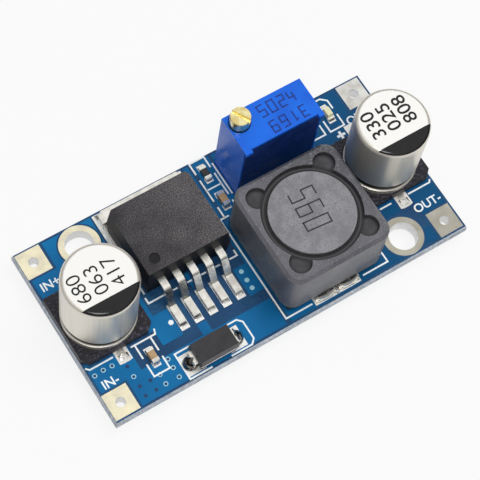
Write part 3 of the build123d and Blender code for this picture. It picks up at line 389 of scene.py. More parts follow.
def mask_over_copper():
    """The same glossy blue mask where copper lies under it: lighter and flat, and deeper in
    colour towards the output end."""
    material, tree, shader, place = started("blue_mask_over_copper", Specular_IOR_Level=0.2)
    cloud = clouds(tree, place, (7, 7, 7), 0.3, 0.7)
    colour = add(tree, "ShaderNodeMix", {0: cloud, 6: "#07659D", 7: "#0E74AE"}, 2, data_type="RGBA")
    far = ramp(tree, place, "X", -6, 10)
    colour = add(tree, "ShaderNodeMix", {0: far, 6: colour, 7: "#064F7C"}, 2, data_type="RGBA")
    coat(tree, shader, colour, cloud, (0.3, 0.42))
    relief(tree, shader, (weave(tree, place), 0.003))
    return material


def aluminium_can():
    """Drawn and ironed aluminium can. The wall is satin, with faint lines running down it, and
    dark in the rolled bead: painted shade in the groove. The flat top is painted white and not
    metallic, as a painted reflection of the bright light overhead."""
    material, tree, shader, place = started("drawn_aluminium")
    foot, top = box(CANS[0])[0][2], box(CANS[0])[1][2]
    lid = ramp(tree, place, "Z", top - 0.03, top - 0.01)
    lines = clouds(tree, place, (0.22, 0.22, 12.0), 0.3, 0.7, 1.0)
    wall = add(tree, "ShaderNodeMix", {0: lines, 6: "#E8E3D8", 7: "#E0DBD0"}, 2, data_type="RGBA")
    height = add(tree, "ShaderNodeSeparateXYZ", {0: place}, "Z")
    # Painted shade: a dark band round the rolled bead, where the groove lies in shade.
    bead_shade = beside(tree, height, foot + BEAD, 0.54, 0.4)
    wall = add(tree, "ShaderNodeMix", {0: bead_shade, 6: wall, 7: "#45433F"}, 2, data_type="RGBA")
    # Painted reflection: the flat top is white and, below, not metallic.
    colour = add(tree, "ShaderNodeMix", {0: lid, 6: wall, 7: "#FAF9F6"}, 2, data_type="RGBA")
    coat(tree, shader, colour, lid, (0.38, 0.5))
    metal = add(tree, "ShaderNodeMapRange", {"Value": lid, "To Min": 0.7, "To Max": 0.0})
    tree.links.new(metal, shader.inputs["Metallic"])
    relief(tree, shader, (lines, 0.0004))
    return material


def turned_brass():
    """Brass screw, turned: warm, with the tool's fine rings round its axis. They are drawn 0.12
    mm apart, coarser than real ones, so that they show."""
    material, tree, shader, place = started("turned_brass", Metallic=1.0)
    low, high = box("trimmer_screw")
    centre = [-(low[0] + high[0]) / 2 * MM, -(low[1] + high[1]) / 2 * MM, 0.0]
    centred = add(tree, "ShaderNodeMapping", {"Vector": place, "Location": centre})
    rings = add(tree, "ShaderNodeTexWave", {"Vector": centred, "Scale": WAVE / (0.12 * MM)}, 1,
                wave_type="RINGS", rings_direction="Z")
    tarnish = clouds(tree, place, (0.6, 0.6, 0.6))
    colour = {0: tarnish, 6: "#FFF4BC", 7: "#EAD48E"}
    colour = add(tree, "ShaderNodeMix", colour, 2, data_type="RGBA")
    coat(tree, shader, colour, tarnish, (0.2, 0.36))
    relief(tree, shader, (rings, 0.002))
    return material


def moulded_epoxy():
    """Transfer-moulded epoxy body of the regulator: matt charcoal, flecked by the filler's grains,
    and painted paler towards the right as a sheen, mixed with patches of random tone. The sides
    are painted nearly black as shade; the ejector's dimple near the first lead is nearly black too."""
    material, tree, shader, place = started("transfer_moulded_epoxy", Specular_IOR_Level=0.25)
    grain = clouds(tree, place, (0.16, 0.16, 0.16), 0.3, 0.7)
    flecks = clouds(tree, place, (0.13, 0.13, 0.13), 0.48, 0.64)
    pits = clouds(tree, place, (0.2, 0.2, 0.2), 0.42, 0.32)
    patches = clouds(tree, place, (3.0, 3.0, 3.0), 0.2, 0.8)
    low, high = box("regulator_body")
    # Painted sheen: paler towards the right, mixed half and half with random patches.
    right = ramp(tree, place, "X", low[0], high[0])
    painted_sheen_and_patches = add(tree, "ShaderNodeMath", {0: right, 1: patches}, operation="ADD")
    painted_sheen_and_patches = add(tree, "ShaderNodeMath", {0: painted_sheen_and_patches, 1: 0.5}, operation="MULTIPLY")
    base = add(tree, "ShaderNodeMix", {0: painted_sheen_and_patches, 6: "#1E1D21", 7: "#545257"}, 2, data_type="RGBA")
    base = add(tree, "ShaderNodeMix", {0: pits, 6: base, 7: "#2D2C30"}, 2, data_type="RGBA")
    away = from_axis(tree, place, *DIMPLE)[1]
    outside = {"Value": away, "From Min": 0.55 * MM, "From Max": 0.62 * MM}
    outside = add(tree, "ShaderNodeMapRange", outside)
    base = add(tree, "ShaderNodeMix", {0: outside, 6: "#2E2C30", 7: base}, 2, data_type="RGBA")
    # Painted shade: below the top, the sides turn nearly black.
    upper = ramp(tree, place, "Z", high[2] - 0.06, high[2] - 0.02)
    base = add(tree, "ShaderNodeMix", {0: upper, 6: "#1B1A1E", 7: base}, 2, data_type="RGBA")
    shown = flecks
    for share in (upper, outside, painted_sheen_and_patches):
        shown = add(tree, "ShaderNodeMath", {0: shown, 1: share}, operation="MULTIPLY")
    colour = add(tree, "ShaderNodeMix", {0: shown, 6: base, 7: "#817C77"}, 2, data_type="RGBA")
    tree.links.new(colour, shader.inputs["Base Color"])
    shader.inputs["Roughness"].default_value = 0.5
    relief(tree, shader, (grain, 0.008))
    return material


def levelled_tin():
    """Hot-air levelled tin on the bare lands: uneven in thickness, so it shines in soft pools. It
    is warm at the input end, and greyer at the output end and the more so at the front. Its
    upright faces, the plated barrels of the holes, are painted white and less metallic: painted
    light on walls that lie in shade."""
    material, tree, shader, place = started("hot_air_levelled_tin")
    pools = clouds(tree, place, (1.3, 1.3, 1.3))
    far = ramp(tree, place, "X", -12, 18)
    near = ramp(tree, place, "Y", 9, -9, 0.8)
    warm = add(tree, "ShaderNodeMix", {0: pools, 6: "#FFF6D4", 7: "#EDE6CC"}, 2, data_type="RGBA")
    grey = add(tree, "ShaderNodeMix", {0: pools, 6: "#F0EFEA", 7: "#DAD8D0"}, 2, data_type="RGBA")
    grey = add(tree, "ShaderNodeMix", {0: near, 6: grey, 7: "#A8A392"}, 2, data_type="RGBA")
    colour = add(tree, "ShaderNodeMix", {0: far, 6: warm, 7: grey}, 2, data_type="RGBA")
    # Painted light: upright faces turn white and less metallic.
    facing = add(tree, "ShaderNodeTexCoord", {}, "Normal")
    facing = add(tree, "ShaderNodeSeparateXYZ", {0: facing}, "Z")
    level = add(tree, "ShaderNodeMath", {0: facing}, operation="ABSOLUTE")
    colour = add(tree, "ShaderNodeMix", {0: level, 6: "#FFFFFF", 7: colour}, 2, data_type="RGBA")
    coat(tree, shader, colour, pools, (0.3, 0.5))
    metal = add(tree, "ShaderNodeMapRange", {"Value": level, "To Min": 0.2, "To Max": 0.8})
    tree.links.new(metal, shader.inputs["Metallic"])
    relief(tree, shader, (clouds(tree, place, (0.8, 0.8, 0.8), 0.3, 0.7), 0.02))
    return material


def varnished_ferrite():
    """Sintered ferrite under a thin clear varnish: grey with soft clouds and a fine grain, and
    darker towards the back right. The varnish gives it a soft gloss."""
    material, tree, shader, place = started("varnished_ferrite", Specular_IOR_Level=0.5)
    cloud = clouds(tree, place, (2.6, 2.6, 2.6))
    grain = clouds(tree, place, (0.2, 0.2, 0.2), 0.3, 0.7)
    low, high = box("inductor_shield_ring")
    side = high[0] - low[0]
    corner = {"Vector": place, "Location": [-low[0] * MM, -low[1] * MM, 0.0]}
    corner = add(tree, "ShaderNodeMapping", corner)
    way = add(tree, "ShaderNodeVectorMath", {0: corner, 1: (1, 1, 0)}, "Value",
              operation="DOT_PRODUCT")
    far = {"Value": way, "From Min": 1.0 * side * MM, "From Max": 1.9 * side * MM}
    far = add(tree, "ShaderNodeMapRange", far)
    base = add(tree, "ShaderNodeMix", {0: cloud, 6: "#59595F", 7: "#67676D"}, 2, data_type="RGBA")
    base = add(tree, "ShaderNodeMix", {0: far, 6: base, 7: "#48484D"}, 2, data_type="RGBA")
    flecks = clouds(tree, place, (0.18, 0.18, 0.18), 0.54, 0.7)
    colour = add(tree, "ShaderNodeMix", {0: flecks, 6: base, 7: "#78787E"}, 2, data_type="RGBA")
    coat(tree, shader, colour, cloud, (0.3, 0.42))
    relief(tree, shader, (grain, 0.01))
    return material


def laid_epoxy():
    """Epoxy laid by needle in the groove round the inductor's disc: black there, with a paler line
    painted along its middle as a highlight on its crest. In the middle of each of the four
    pockets it is thin enough for the grey ferrite to show, and round their edges it is painted
    near black as shade."""
    material, tree, shader, place = started("needle_laid_epoxy")
    centred, away = from_axis(tree, place, *INDUCTOR)
    folded = add(tree, "ShaderNodeVectorMath", {0: centred}, operation="ABSOLUTE")
    pocket = (POCKET_OFFSET * MM, POCKET_OFFSET * MM, 0.0)
    inside = add(tree, "ShaderNodeVectorMath", {0: folded, 1: pocket}, "Value",
                 operation="DISTANCE")
    # Painted shade: dark round the edge of each pocket.
    pocket_rim_shade = {"Value": inside, "From Min": 0.7 * MM, "From Max": 1.1 * MM}
    pocket_rim_shade = add(tree, "ShaderNodeMapRange", pocket_rim_shade)
    beyond = {"Value": away, "From Min": 5.2 * MM, "From Max": 5.6 * MM}
    beyond = add(tree, "ShaderNodeMapRange", beyond)
    drift = clouds(tree, place, (0.9, 0.9, 0.9))
    thin = add(tree, "ShaderNodeMix", {0: drift, 6: "#302F33", 7: "#424146"}, 2, data_type="RGBA")
    thin = add(tree, "ShaderNodeMix", {0: pocket_rim_shade, 6: thin, 7: "#151417"}, 2, data_type="RGBA")
    colour = add(tree, "ShaderNodeMix", {0: beyond, 6: "#0C0B0E", 7: thin}, 2, data_type="RGBA")
    # Painted highlight: a paler line along the crest of the glue.
    crest_highlight = beside(tree, away, GROOVE_CREST_R, 0.14, 0.05)
    colour = add(tree, "ShaderNodeMix", {0: crest_highlight, 6: colour, 7: "#39383C"}, 2, data_type="RGBA")
    tree.links.new(colour, shader.inputs["Base Color"])
    shader.inputs["Roughness"].default_value = 0.45
    relief(tree, shader, (clouds(tree, place, (1.2, 1.2, 1.2), 0.3, 0.7), 0.02))
    return material


# In each line the numbers are the patches' size, the two roughnesses between which it drifts, and
# the size and height of the grain.
MATERIALS = {
    "board_mask": glass_fibre_board(),
    "mask_over_copper": mask_over_copper(),
    "brass": turned_brass(),
    "can_aluminium": aluminium_can(),
    "moulded_epoxy": moulded_epoxy(),
    "tinned_land": levelled_tin(),
    "dark_glue": laid_epoxy(),
    # Laminate under the mask at the bottom of a via, where little light comes in.
    "bare_mask": surface("blue_mask_in_a_via", "#0B3260", "#0A2C56", 2.0, (0.3, 0.4), 0.4, 0.002),
    # Matt tin plate over copper leads, cut and bent after plating.
    "tinned_copper": surface("matt_tin_plate", "#F8F6EE", "#E2DFD6", 0.8, (0.2, 0.34), 0.2, 0.002,
                             Metallic=1.0),
    "silicon": surface("sawn_silicon", "#6C6E78", "#7C7E86", 1.0, (0.15, 0.25), 0.2, 0.001),
    "wound_foil": surface("etched_foil_winding", "#8E8C84", "#B0AEA6", 2.0, (0.5, 0.6), 0.1, 0.005),
    "black_rubber": surface("butyl_rubber", "#1E1E20", "#2A2A2C", 1.0, (0.6, 0.75), 0.1, 0.004),
    # Moulded polyphthalamide plinths: charcoal with a faint violet cast, satin.
    "plinth_plastic": surface("moulded_polyphthalamide", "#1D1B21", "#2B2931", 1.6, (0.42, 0.58),
                              0.25, 0.012, speck="#4C4A55", Specular_IOR_Level=0.3),
    "ferrite": varnished_ferrite(),
    "copper_winding": surface("enamelled_copper", "#8A4220", "#A2562C", 1.0, (0.15, 0.25), 0.4,
                              0.002, Metallic=0.7),
    "black_plastic": surface("moulded_phenolic", "#232326", "#2E2E32", 1.5, (0.45, 0.6), 0.2,
                             0.005),
    # Glass-filled polyester trimmer case: saturated blue, satin.
    "blue_plastic": surface("moulded_polyester", "#0A60DA", "#146DE8", 2.4, (0.25, 0.38), 0.3,
                            0.003, Specular_IOR_Level=0.35),
    "dark_potting": surface("blue_epoxy_potting", "#0F2C6E", "#133680", 1.5, (0.35, 0.55), 0.5,
                            0.01),
    "alumina": surface("fired_alumina", "#E8E6DF", "#DAD8D0", 1.0, (0.5, 0.6), 0.1, 0.002),
    "white_plastic": surface("moulded_acetal", "#E6E4DC", "#DAD8CE", 1.0, (0.35, 0.45), 0.2, 0.002),
    "spring_bronze": surface("phosphor_bronze", "#B98A50", "#A67A44", 0.6, (0.22, 0.34), 0.2, 0.001,
                             Metallic=1.0),
    # Solder as it froze: bright, rippled, with dull flux-stained pools.
    "solder": surface("frozen_solder", "#EDEBE6", "#C4C2BC", 0.5, (0.06, 0.22), 0.5, 0.02,
                      Metallic=0.9),
    "chip_tan": surface("fired_titanate", "#A98B66", "#BC9E78", 0.5, (0.4, 0.5), 0.1, 0.003),
    "chip_black": surface("glazed_resistor_film", "#202024", "#2C2C30", 0.5, (0.2, 0.3), 0.2,
                          0.002),
    "led_white": surface("white_resin_substrate", "#EFECDE", "#E2DEC8", 0.5, (0.4, 0.5), 0.1,
                         0.002),
    # The lens is clear resin with a little phosphor in it, so it looks milky and pale yellow.
    "led_clear": surface("milky_resin_lens", "#F1EECD", "#E9E4B8", 0.6, (0.1, 0.2), 0.3, 0.002,
                         IOR=1.53),
    # Epoxy print: flat, chalky and a little uneven where the screen left it thin.
    "white_ink": surface("screen_printed_white", "#FDFFFF", "#F2FBFE", 0.5, (0.4, 0.5), 0.15,
                         0.004),
    "black_ink": surface("pad_printed_black", "#0A0A0C", "#121114", 0.8, (0.08, 0.14), 0.15, 0.001,
                         Specular_IOR_Level=0.4),
}
# The disc is ground flat after sintering: paler than the ring round it and mottled.
GROUND_FERRITE = surface("ground_ferrite", "#7A7A7F", "#8F8F93", 1.2, (0.42, 0.56), 0.18, 0.008,
                         speck="#727277")
# The diode's body is moulded smooth, and darker than the regulator's.
SMOOTH_EPOXY = surface("polished_moulded_epoxy", "#242225", "#2E2C2F", 1.2, (0.3, 0.45), 0.2, 0.004)
# Ink on the ground disc and on the trimmer's top: thin, so the ground shows through.
DARK_MARK = surface("thin_dark_print", "#242226", "#343236", 0.5, (0.5, 0.6), 0.1, 0.003)
BLUE_MARK = surface("print_on_blue_polyester", "#0A2C78", "#0F3C96", 0.5, (0.45, 0.55), 0.1, 0.003)
# A via's ring under the mask, where the mask is thin over the drilled edge and looks pale.
THIN_MASK = surface("thin_mask_on_a_via", "#93CBE0", "#B0DDEA", 0.6, (0.3, 0.4), 0.3, 0.002)
# Solder paste that melted over the parts' lands: a bright, thin, slightly uneven film.
REFLOWED_FILM = surface("reflowed_solder_film", "#FCFBF8", "#EEECE7", 0.7, (0.22, 0.36), 0.5, 0.015,
                        Metallic=0.35)
# Solder on the diode's terminals: glossy, and painted dark as a reflection of the dark body.
SOLDER_PAINTED_DARK = surface("solder_painted_dark", "#45433F", "#8E8B86", 0.35, (0.05, 0.14), 0.8, 0.01,
                         Metallic=1.0)
# The seam where the diode's mould closed: a ridge painted pale as a highlight along it.
SEAM_PAINTED_HIGHLIGHT = surface("mould_seam_painted_highlight", "#E8E0E4", "#C4BCC2", 0.5, (0.4, 0.5), 0.1, 0.002)
NODE_MATERIALS = {"inductor_drum_core": GROUND_FERRITE, "diode_body": SMOOTH_EPOXY,
                  "solder_lands": REFLOWED_FILM}


def dress_nodes():
    """Gives each node of the model the material of its record slot, or one of its own."""
    for part in frame["record"]["subparts"]:
        materials = frame["nodes"][part["node"]].data.materials
        materials.clear()
        materials.append(NODE_MATERIALS.get(part["node"], MATERIALS[part["material_slot"]]))


# Copper under the mask

RING_GAP = 2.45      # the copper stops this far from the middle of a mounting hole


def copper_fields():
    """Raised fields of copper under the mask. Their outlines step round the corner lands and go
    round the mounting holes in an arc."""
    low, high = BOARD_TOP - SUNK, COPPER_TOP
    x, y = IN_HOLE
    positive_in = [(-21.35, -3.9), (-13.35, -3.9), (-13.35, -5.8), (-10.9, -5.8), (-10.9, -2.5),
                   (-12.6, -2.5), (-12.6, 10.25)]
    positive_in += circle(x, y, RING_GAP, 30, 60.0, -240.0).tolist()
    positive_in += [(-18.4, 10.25), (-18.4, 7.05), (-21.35, 7.05)]
    negative_in = [(-18.45, -10.25), (-1.1, -10.25), (-1.1, -6.9), (-8.1, -6.9), (-8.1, -5.6),
                   (-9.2, -5.6), (-9.2, -6.9), (-16.6, -6.9), (-16.6, -4.1), (-21.35, -4.1),
                   (-21.35, -7.05), (-18.45, -7.05)]
    switched = [(-7.4, -2.4), (-7.0, -2.4), (-7.0, -0.2), (-7.4, -0.2)]
    feedback = [(-2.7, -5.7), (-0.6, -5.7), (-0.6, 10.25), (-1.2, 10.25), (-1.2, -2.3),
                (-2.7, -2.3)]
    chips = [(-0.1, 3.0), (1.95, 3.0), (1.95, 10.25), (-0.1, 10.25)]
    x, y = OUT_HOLE
    output = [(-0.5, -10.25), (12.6, -10.25)]
    output += circle(x, y, RING_GAP, 16, 240.0, 135.0).tolist()
    output += [(14.3, -5.75), (14.3, 2.8), (-0.5, 2.8)]
    foot_left = [(14.5, -5.55), (16.5, -5.55), (16.5, -3.9), (14.5, -3.9)]
    negative_out = [(18.3, -7.05), (21.35, -7.05), (21.35, -3.9), (18.3, -3.9)]
    ring_right = circle(x, y, RING_GAP, 8, -50.0, -8.0).tolist() + [(18.2, -8.5), (18.2, -10.25)]
    positive_out = [(2.3, 3.1), (13.0, 3.1), (13.0, 4.7), (21.35, 4.7), (21.35, 7.05), (18.2, 7.05),
                    (18.2, 10.25), (2.3, 10.25)]
    fields = [positive_in, negative_in, switched, feedback, chips, output, foot_left, negative_out,
              ring_right, positive_out]
    return [plate(outline, low, high) for outline in fields]


def underside_fields():
    """The copper on the underside: one wide field for each pole, with the pins' tracks between."""
    low, high = UNDERSIDE - COPPER_PROUD, UNDERSIDE + SUNK
    x, y = IN_HOLE
    left = [(-21.35, -7.0), (-18.3, -7.0), (-18.3, -10.25), (-1.0, -10.25), (-1.0, 10.25)]
    left += circle(x, y, RING_GAP, 30, 60.0, -240.0).tolist()
    left += [(-18.3, 10.25), (-18.3, 7.0), (-21.35, 7.0)]
    x, y = OUT_HOLE
    right = [(-0.5, -10.25)] + circle(x, y, RING_GAP, 30, 240.0, -60.0).tolist()
    right += [(18.2, -10.25), (18.2, -7.0), (21.35, -7.0), (21.35, 7.0), (18.2, 7.0), (18.2, 10.25),
              (12.4, 10.25), (12.4, 3.6), (-0.5, 3.6)]
    strip = [(-0.5, 4.0), (2.9, 4.0), (2.9, 10.25), (-0.5, 10.25)]
    return [plate(outline, low, high) for outline in (left, right, strip)]


# Vias near the input, open or covered by the mask, and three filled ones beside the inductor
OPEN_VIAS = [(-21.0, -5.1), (-19.95, -5.0), (-18.95, -5.05), (-17.65, -7.15), (-15.25, -8.3),
             (-15.25, -9.45), (-13.7, -7.3), (-13.7, -8.35), (-13.7, -9.5)]
COVERED_VIAS = [(-17.65, -5.9), (-17.65, -8.35), (-16.4, -8.35), (-17.65, -9.5), (-16.4, -9.5)]
FILLED_VIAS = [(-2.05, -2.9), (-2.05, -4.0), (-2.05, -5.0)]
VIA_HOLE_R = 0.16
VIA_R = 0.26
COVERED_VIA_R = 0.2
# Lower and upper faces of the films that make them, above and below the board
RIMS = ((BOARD_TOP, COPPER_TOP + 0.02), (UNDERSIDE - 0.05, UNDERSIDE))
MOUTHS = ((BOARD_TOP, COPPER_TOP + 0.008), (UNDERSIDE - 0.043, UNDERSIDE))
COVER = (BOARD_TOP, COPPER_TOP + 0.012)


def via_rims():
    """Pale rings of the open vias on both faces, and the pale caps of the filled ones."""
    made = []
    for face in RIMS:
        made += [ring(x, y, VIA_HOLE_R, VIA_R, *face) for x, y in OPEN_VIAS]
        made += [plate(circle(x, y, VIA_R, 20), *face) for x, y in FILLED_VIAS]
    return made


def via_mouths():
    """Dark middles of the open vias, painted as the shade in their holes, and the dimples where
    the mask covers the others.
    """
    made = [plate(circle(x, y, COVERED_VIA_R, 16), *COVER) for x, y in COVERED_VIAS]
    for face in MOUTHS:
        made += [plate(circle(x, y, VIA_HOLE_R, 16), *face) for x, y in OPEN_VIAS]
    return made


# White print

OUTLINE_WIDTH = 0.18


def legend():
    """The white outlines round each part's place, as open runs on the board, and the dot at the
    regulator's first lead."""
    regulator = [
        [(-12.1, 10.1), (-12.1, 0.0)], [(-12.25, -0.4), (-12.25, -1.1), (-10.45, -1.1)],
        [(-9.35, -1.1), (-8.75, -1.1)], [(-7.6, -1.1), (-7.0, -1.1)], [(-5.9, -1.1), (-5.3, -1.1)],
        [(-4.15, -1.1), (-3.55, -1.1)], [(-2.4, -1.1), (-1.45, -1.1), (-1.45, -0.4)],
    ]
    inductor = [
        [(0.25, 3.2), (-0.85, 3.2), (-0.85, -9.7), (2.4, -9.7)],
        [(8.8, -9.7), (11.95, -9.7), (11.95, -8.4)],
    ]
    feedback_chips = [
        [(-0.28, 8.95), (-0.28, 10.4), (1.55, 10.4), (1.55, 9.0)], [(-0.28, 8.2), (-0.28, 5.35)],
        [(1.55, 8.2), (1.55, 5.35)], [(-0.28, 6.8), (1.55, 6.8)], [(-0.28, 4.6), (-0.28, 3.2)],
        [(1.55, 4.6), (1.55, 3.9)],
    ]
    trimmer = [[(1.95, 5.2), (1.95, 9.3)]]
    indicator = [
        [(14.5, 7.4), (14.5, 6.1), (12.65, 6.1)],
        [(15.15, 7.6), (15.15, 6.1), (16.95, 6.1), (16.95, 7.6)],
        [(16.95, 8.4), (16.95, 9.5), (16.3, 10.05), (15.7, 10.05)],
    ]
    capacitors = [
        [(-21.45, -3.95), (-21.1, -4.3), (-18.4, -4.3)],
        [(-16.3, -4.3), (-13.4, -4.3), (-13.2, -3.75)],
        [(14.6, -4.3), (16.1, -4.3)], [(18.3, -4.3), (21.1, -4.3), (21.35, -4.0)],
        [(-15.85, -4.4), (-15.85, -6.0)], [(-14.0, -4.4), (-14.0, -6.0)],
        [(-15.85, -6.7), (-15.85, -8.2), (-14.0, -8.2), (-14.0, -6.7)],
    ]
    diode = [
        [(-10.8, -7.2), (-12.85, -7.2), (-12.85, -10.3), (-10.2, -10.3)],
        [(-6.5, -7.2), (-5.4, -7.2), (-4.9, -7.7), (-4.9, -9.8), (-5.4, -10.3), (-7.9, -10.3)],
    ]
    lines = regulator + inductor + feedback_chips + trimmer + indicator + capacitors + diode
    made = [bar(line, OUTLINE_WIDTH, BOARD_TOP, INK_TOP) for line in lines]
    first_lead_dot = circle(-11.35, -4.05, 0.28, 24)
    return made + [plate(first_lead_dot, BOARD_TOP, INK_TOP)]


def plus_sign():
    """The small plus beside the indicator. One of its bars is a little lower, so that no two
    faces meet in one plane."""
    x, y = 15.95, 5.2
    arm, weight = 0.5, 0.3
    return [
        bar([(x, y - arm), (x, y + arm)], weight, BOARD_TOP, INK_TOP),
        bar([(x - arm, y), (x + arm, y)], weight, BOARD_TOP, INK_TOP - 0.002),
    ]


def terminal_words():
    """Plain function words at the four corner lands: which pole and which way the power goes."""
    lines = [
        ("IN+", (-19.85, 5.85)), ("IN-", (-19.95, -6.45)),
        ("OUT+", (19.2, 6.2)), ("OUT-", (19.5, -6.2)),
    ]
    height, weight = 1.0, 0.02
    return [lettering(text, middle, 0.0, height, weight, COPPER_TOP, INK_TOP)
            for text, middle in lines]


# Print on the parts

POLE_CHORD = 2.1     # the black segment starts this far from the can's middle
POLE_REACH = CAN_R - 0.12              # and ends this far from it
POLE_PROUD, POLE_SUNK = 0.015, 0.03    # its faces over and under the can's own
FIGURE_PROUD, FIGURE_SUNK = 0.012, 0.01


def pole_segment(x, y, top):
    """The black segment that marks a can's negative side. Across it the plan runs from the chord
    out to the arc. Its height follows the can: flat as far as the shoulder starts, then down on
    a quarter circle."""
    tip = 0.998 * math.sqrt(POLE_REACH**2 - POLE_CHORD**2)      # just short of the true one
    across = np.linspace(-1, 1, 49) * tip
    share = np.linspace(0, 1, 13)
    far = np.sqrt(POLE_REACH**2 - across**2)
    out = POLE_CHORD + (far - POLE_CHORD)[:, None] * share
    wide = np.broadcast_to(across[:, None], out.shape)
    past = np.clip(np.hypot(wide, out) - (CAN_R - CAN_CROWN), 0, CAN_CROWN)
    face = top - (CAN_CROWN - np.sqrt(CAN_CROWN**2 - past**2))
    upper = np.stack([x + wide, y - out, face + POLE_PROUD], -1)
    lower = np.stack([x + wide, y - out, face - POLE_SUNK], -1)
    return skin(np.concatenate([lower, upper[:, ::-1]], 1))


def can_print():
    """The segment and three short lines of plain figures on each can."""
    made = []
    figures = [(("680", "063", "417"), -0.012, (-0.45, 0.05)),
               (("330", "025", "808"), 0.02, (-0.2, 0.65))]
    height, pitch, stretch = 1.55, 1.95, 1.05
    for node, (lines, weight, shift) in zip(CANS, figures):
        low, high = box(node)
        x, y, top = (low[0] + high[0]) / 2, (low[1] + high[1]) / 2, high[2]
        made.append(pole_segment(x, y, top))
        for place, text in enumerate(lines):
            middle = (x + shift[0] + pitch * (place - 1), y + shift[1])
            made.append(lettering(text, middle, 90.0, height, weight, top - FIGURE_SUNK,
                                  top + FIGURE_PROUD, stretch))
    return made


def disc_figures():
    """Three stroke figures across the disc."""
    top = box("inductor_drum_core")[1][2]
    middle = (INDUCTOR[0], INDUCTOR[1] + 0.5)
    return stroke_figures("560", middle, -95.0, height=2.8, pitch=1.7, narrow=0.72, weight=0.16,
                          low=top - FIGURE_SUNK, high=top + FIGURE_PROUD)


def trimmer_figures():
    """Two lines of stroke figures on the case, back to back."""
    top = box("trimmer_housing")[1][2]
    made = []
    for text, middle, angle, height in (("5024", (8.1, 8.0), 0.0, 1.35),
                                        ("3169", (8.3, 5.9), 180.0, 1.3)):
        made += stroke_figures(text, middle, angle, height, pitch=1.2, narrow=1.05, weight=0.17,
                               low=top - FIGURE_SUNK, high=top + 0.01)
    return made


# Solder

# Each mound starts in its land and climbs by its rise above it. The power of its height is
# named hollow for a fillet and full for a bead.
SOLDER_FOOT = LAND_TOP - SUNK


def lead_fillets():
    """Solder drawn up the sides and toe of each foot of the regulator."""
    rise, hollow = 0.26, 1.8
    made = []
    for x in REGULATOR_LEADS:
        foot = rounded(x, -4.0, 0.97, 2.5, 8)
        crown = rounded(x, -3.85, 0.76, 1.86, 8)
        made.append(mound(foot, crown, SOLDER_FOOT, LAND_TOP + rise, hollow))
    return made


def end_fillets(node):
    """Solder at both ends of a chip that lies along y, up to six tenths of its height."""
    low, high = box(node)
    x, wide = (low[0] + high[0]) / 2, high[0] - low[0]
    reach, rise, hollow = 0.22, (high[2] - low[2]) * 0.6, 1.6
    made = []
    for y, way in ((low[1], -1), (high[1], 1)):
        foot = rounded(x, y + way * reach / 2, wide * 0.98, reach, 5)
        crown = rounded(x, y - way * 0.02, wide * 0.84, 0.06, 5)
        made.append(mound(foot, crown, SOLDER_FOOT, LAND_TOP + rise, hollow))
    return made


def capacitor_fillets():
    """Solder round each capacitor's front foot."""
    rise, hollow = 0.15, 1.4
    made = []
    for node in CANS:
        low, high = box(node)
        x = (low[0] + high[0]) / 2
        foot = rounded(x, -4.95, 1.3, 1.1, 6)
        crown = rounded(x, -4.65, 0.7, 0.2, 6)
        made.append(mound(foot, crown, SOLDER_FOOT, LAND_TOP + rise, hollow))
    return made


def tab_fillet():
    """A long fillet at the free edge of the heat tab."""
    low, high = box("regulator_heat_tab")
    x, y = (low[0] + high[0]) / 2, high[1]
    rise, hollow = 0.8, 1.6
    foot = rounded(x, y, 10.6, 0.7, 12, 64)
    crown = rounded(x, y - 0.02, 9.2, 0.1, 12, 64)
    return [mound(foot, crown, SOLDER_FOOT, LAND_TOP + rise, hollow)]


def diode_beads():
    """Solder over the bends of the diode's terminals: round full beads, leaning a little towards
    the body."""
    low, high = box("diode_body")
    y = (low[1] + high[1]) / 2
    rise, full = 1.34, 0.5
    made = []
    for x, way in ((low[0], -1), (high[0], 1)):
        foot = circle(x + way * 0.42, y, 0.86, 40)
        crown = circle(x + way * 0.3, y, 0.06, 40)
        made.append(mound(foot, crown, SOLDER_FOOT, LAND_TOP + rise, full, steps=14))
    return made


def diode_seam_highlight():
    """The mould's seam, a thin ridge along both long sides of the diode, which carries a painted
    highlight.
    """
    low, high = box("diode_body")
    seam, width, inset = LAND_TOP + 1.15, 0.1, 0.05
    made = []
    for y in (low[1], high[1]):
        path = [(low[0] + inset, y), (high[0] - inset, y)]
        made.append(bar(path, width, seam - width / 2, seam + width / 2))
    return made


def clip_solder():
    """Lumps of solder along the feet of the inductor's clips, front and back, and one between
    the two lips: full beads, wider than they are deep, each of its own size."""
    offset, full = 6.5, 0.8
    lumps = ((4.0, 2.2, 0.5, 0.34), (5.45, 0.5, 0.55, 0.42), (6.9, 2.1, 0.46, 0.3))
    made = []
    for side, shift in ((-1, 0.0), (1, 0.35)):
        y = INDUCTOR[1] + side * offset
        for x, width, depth, rise in lumps:
            foot = rounded(x + shift, y, width, depth, 3)
            crown = rounded(x + shift, y - side * 0.05, width * 0.75, depth * 0.4, 3)
            made.append(mound(foot, crown, SOLDER_FOOT, LAND_TOP + rise, full))
    return made


SOLDERED_CHIPS = ["input_chip_capacitor_ends", "feedback_chip_capacitor_ends",
                  "feedback_resistor_ends", "indicator_resistor_ends", "indicator_led"]


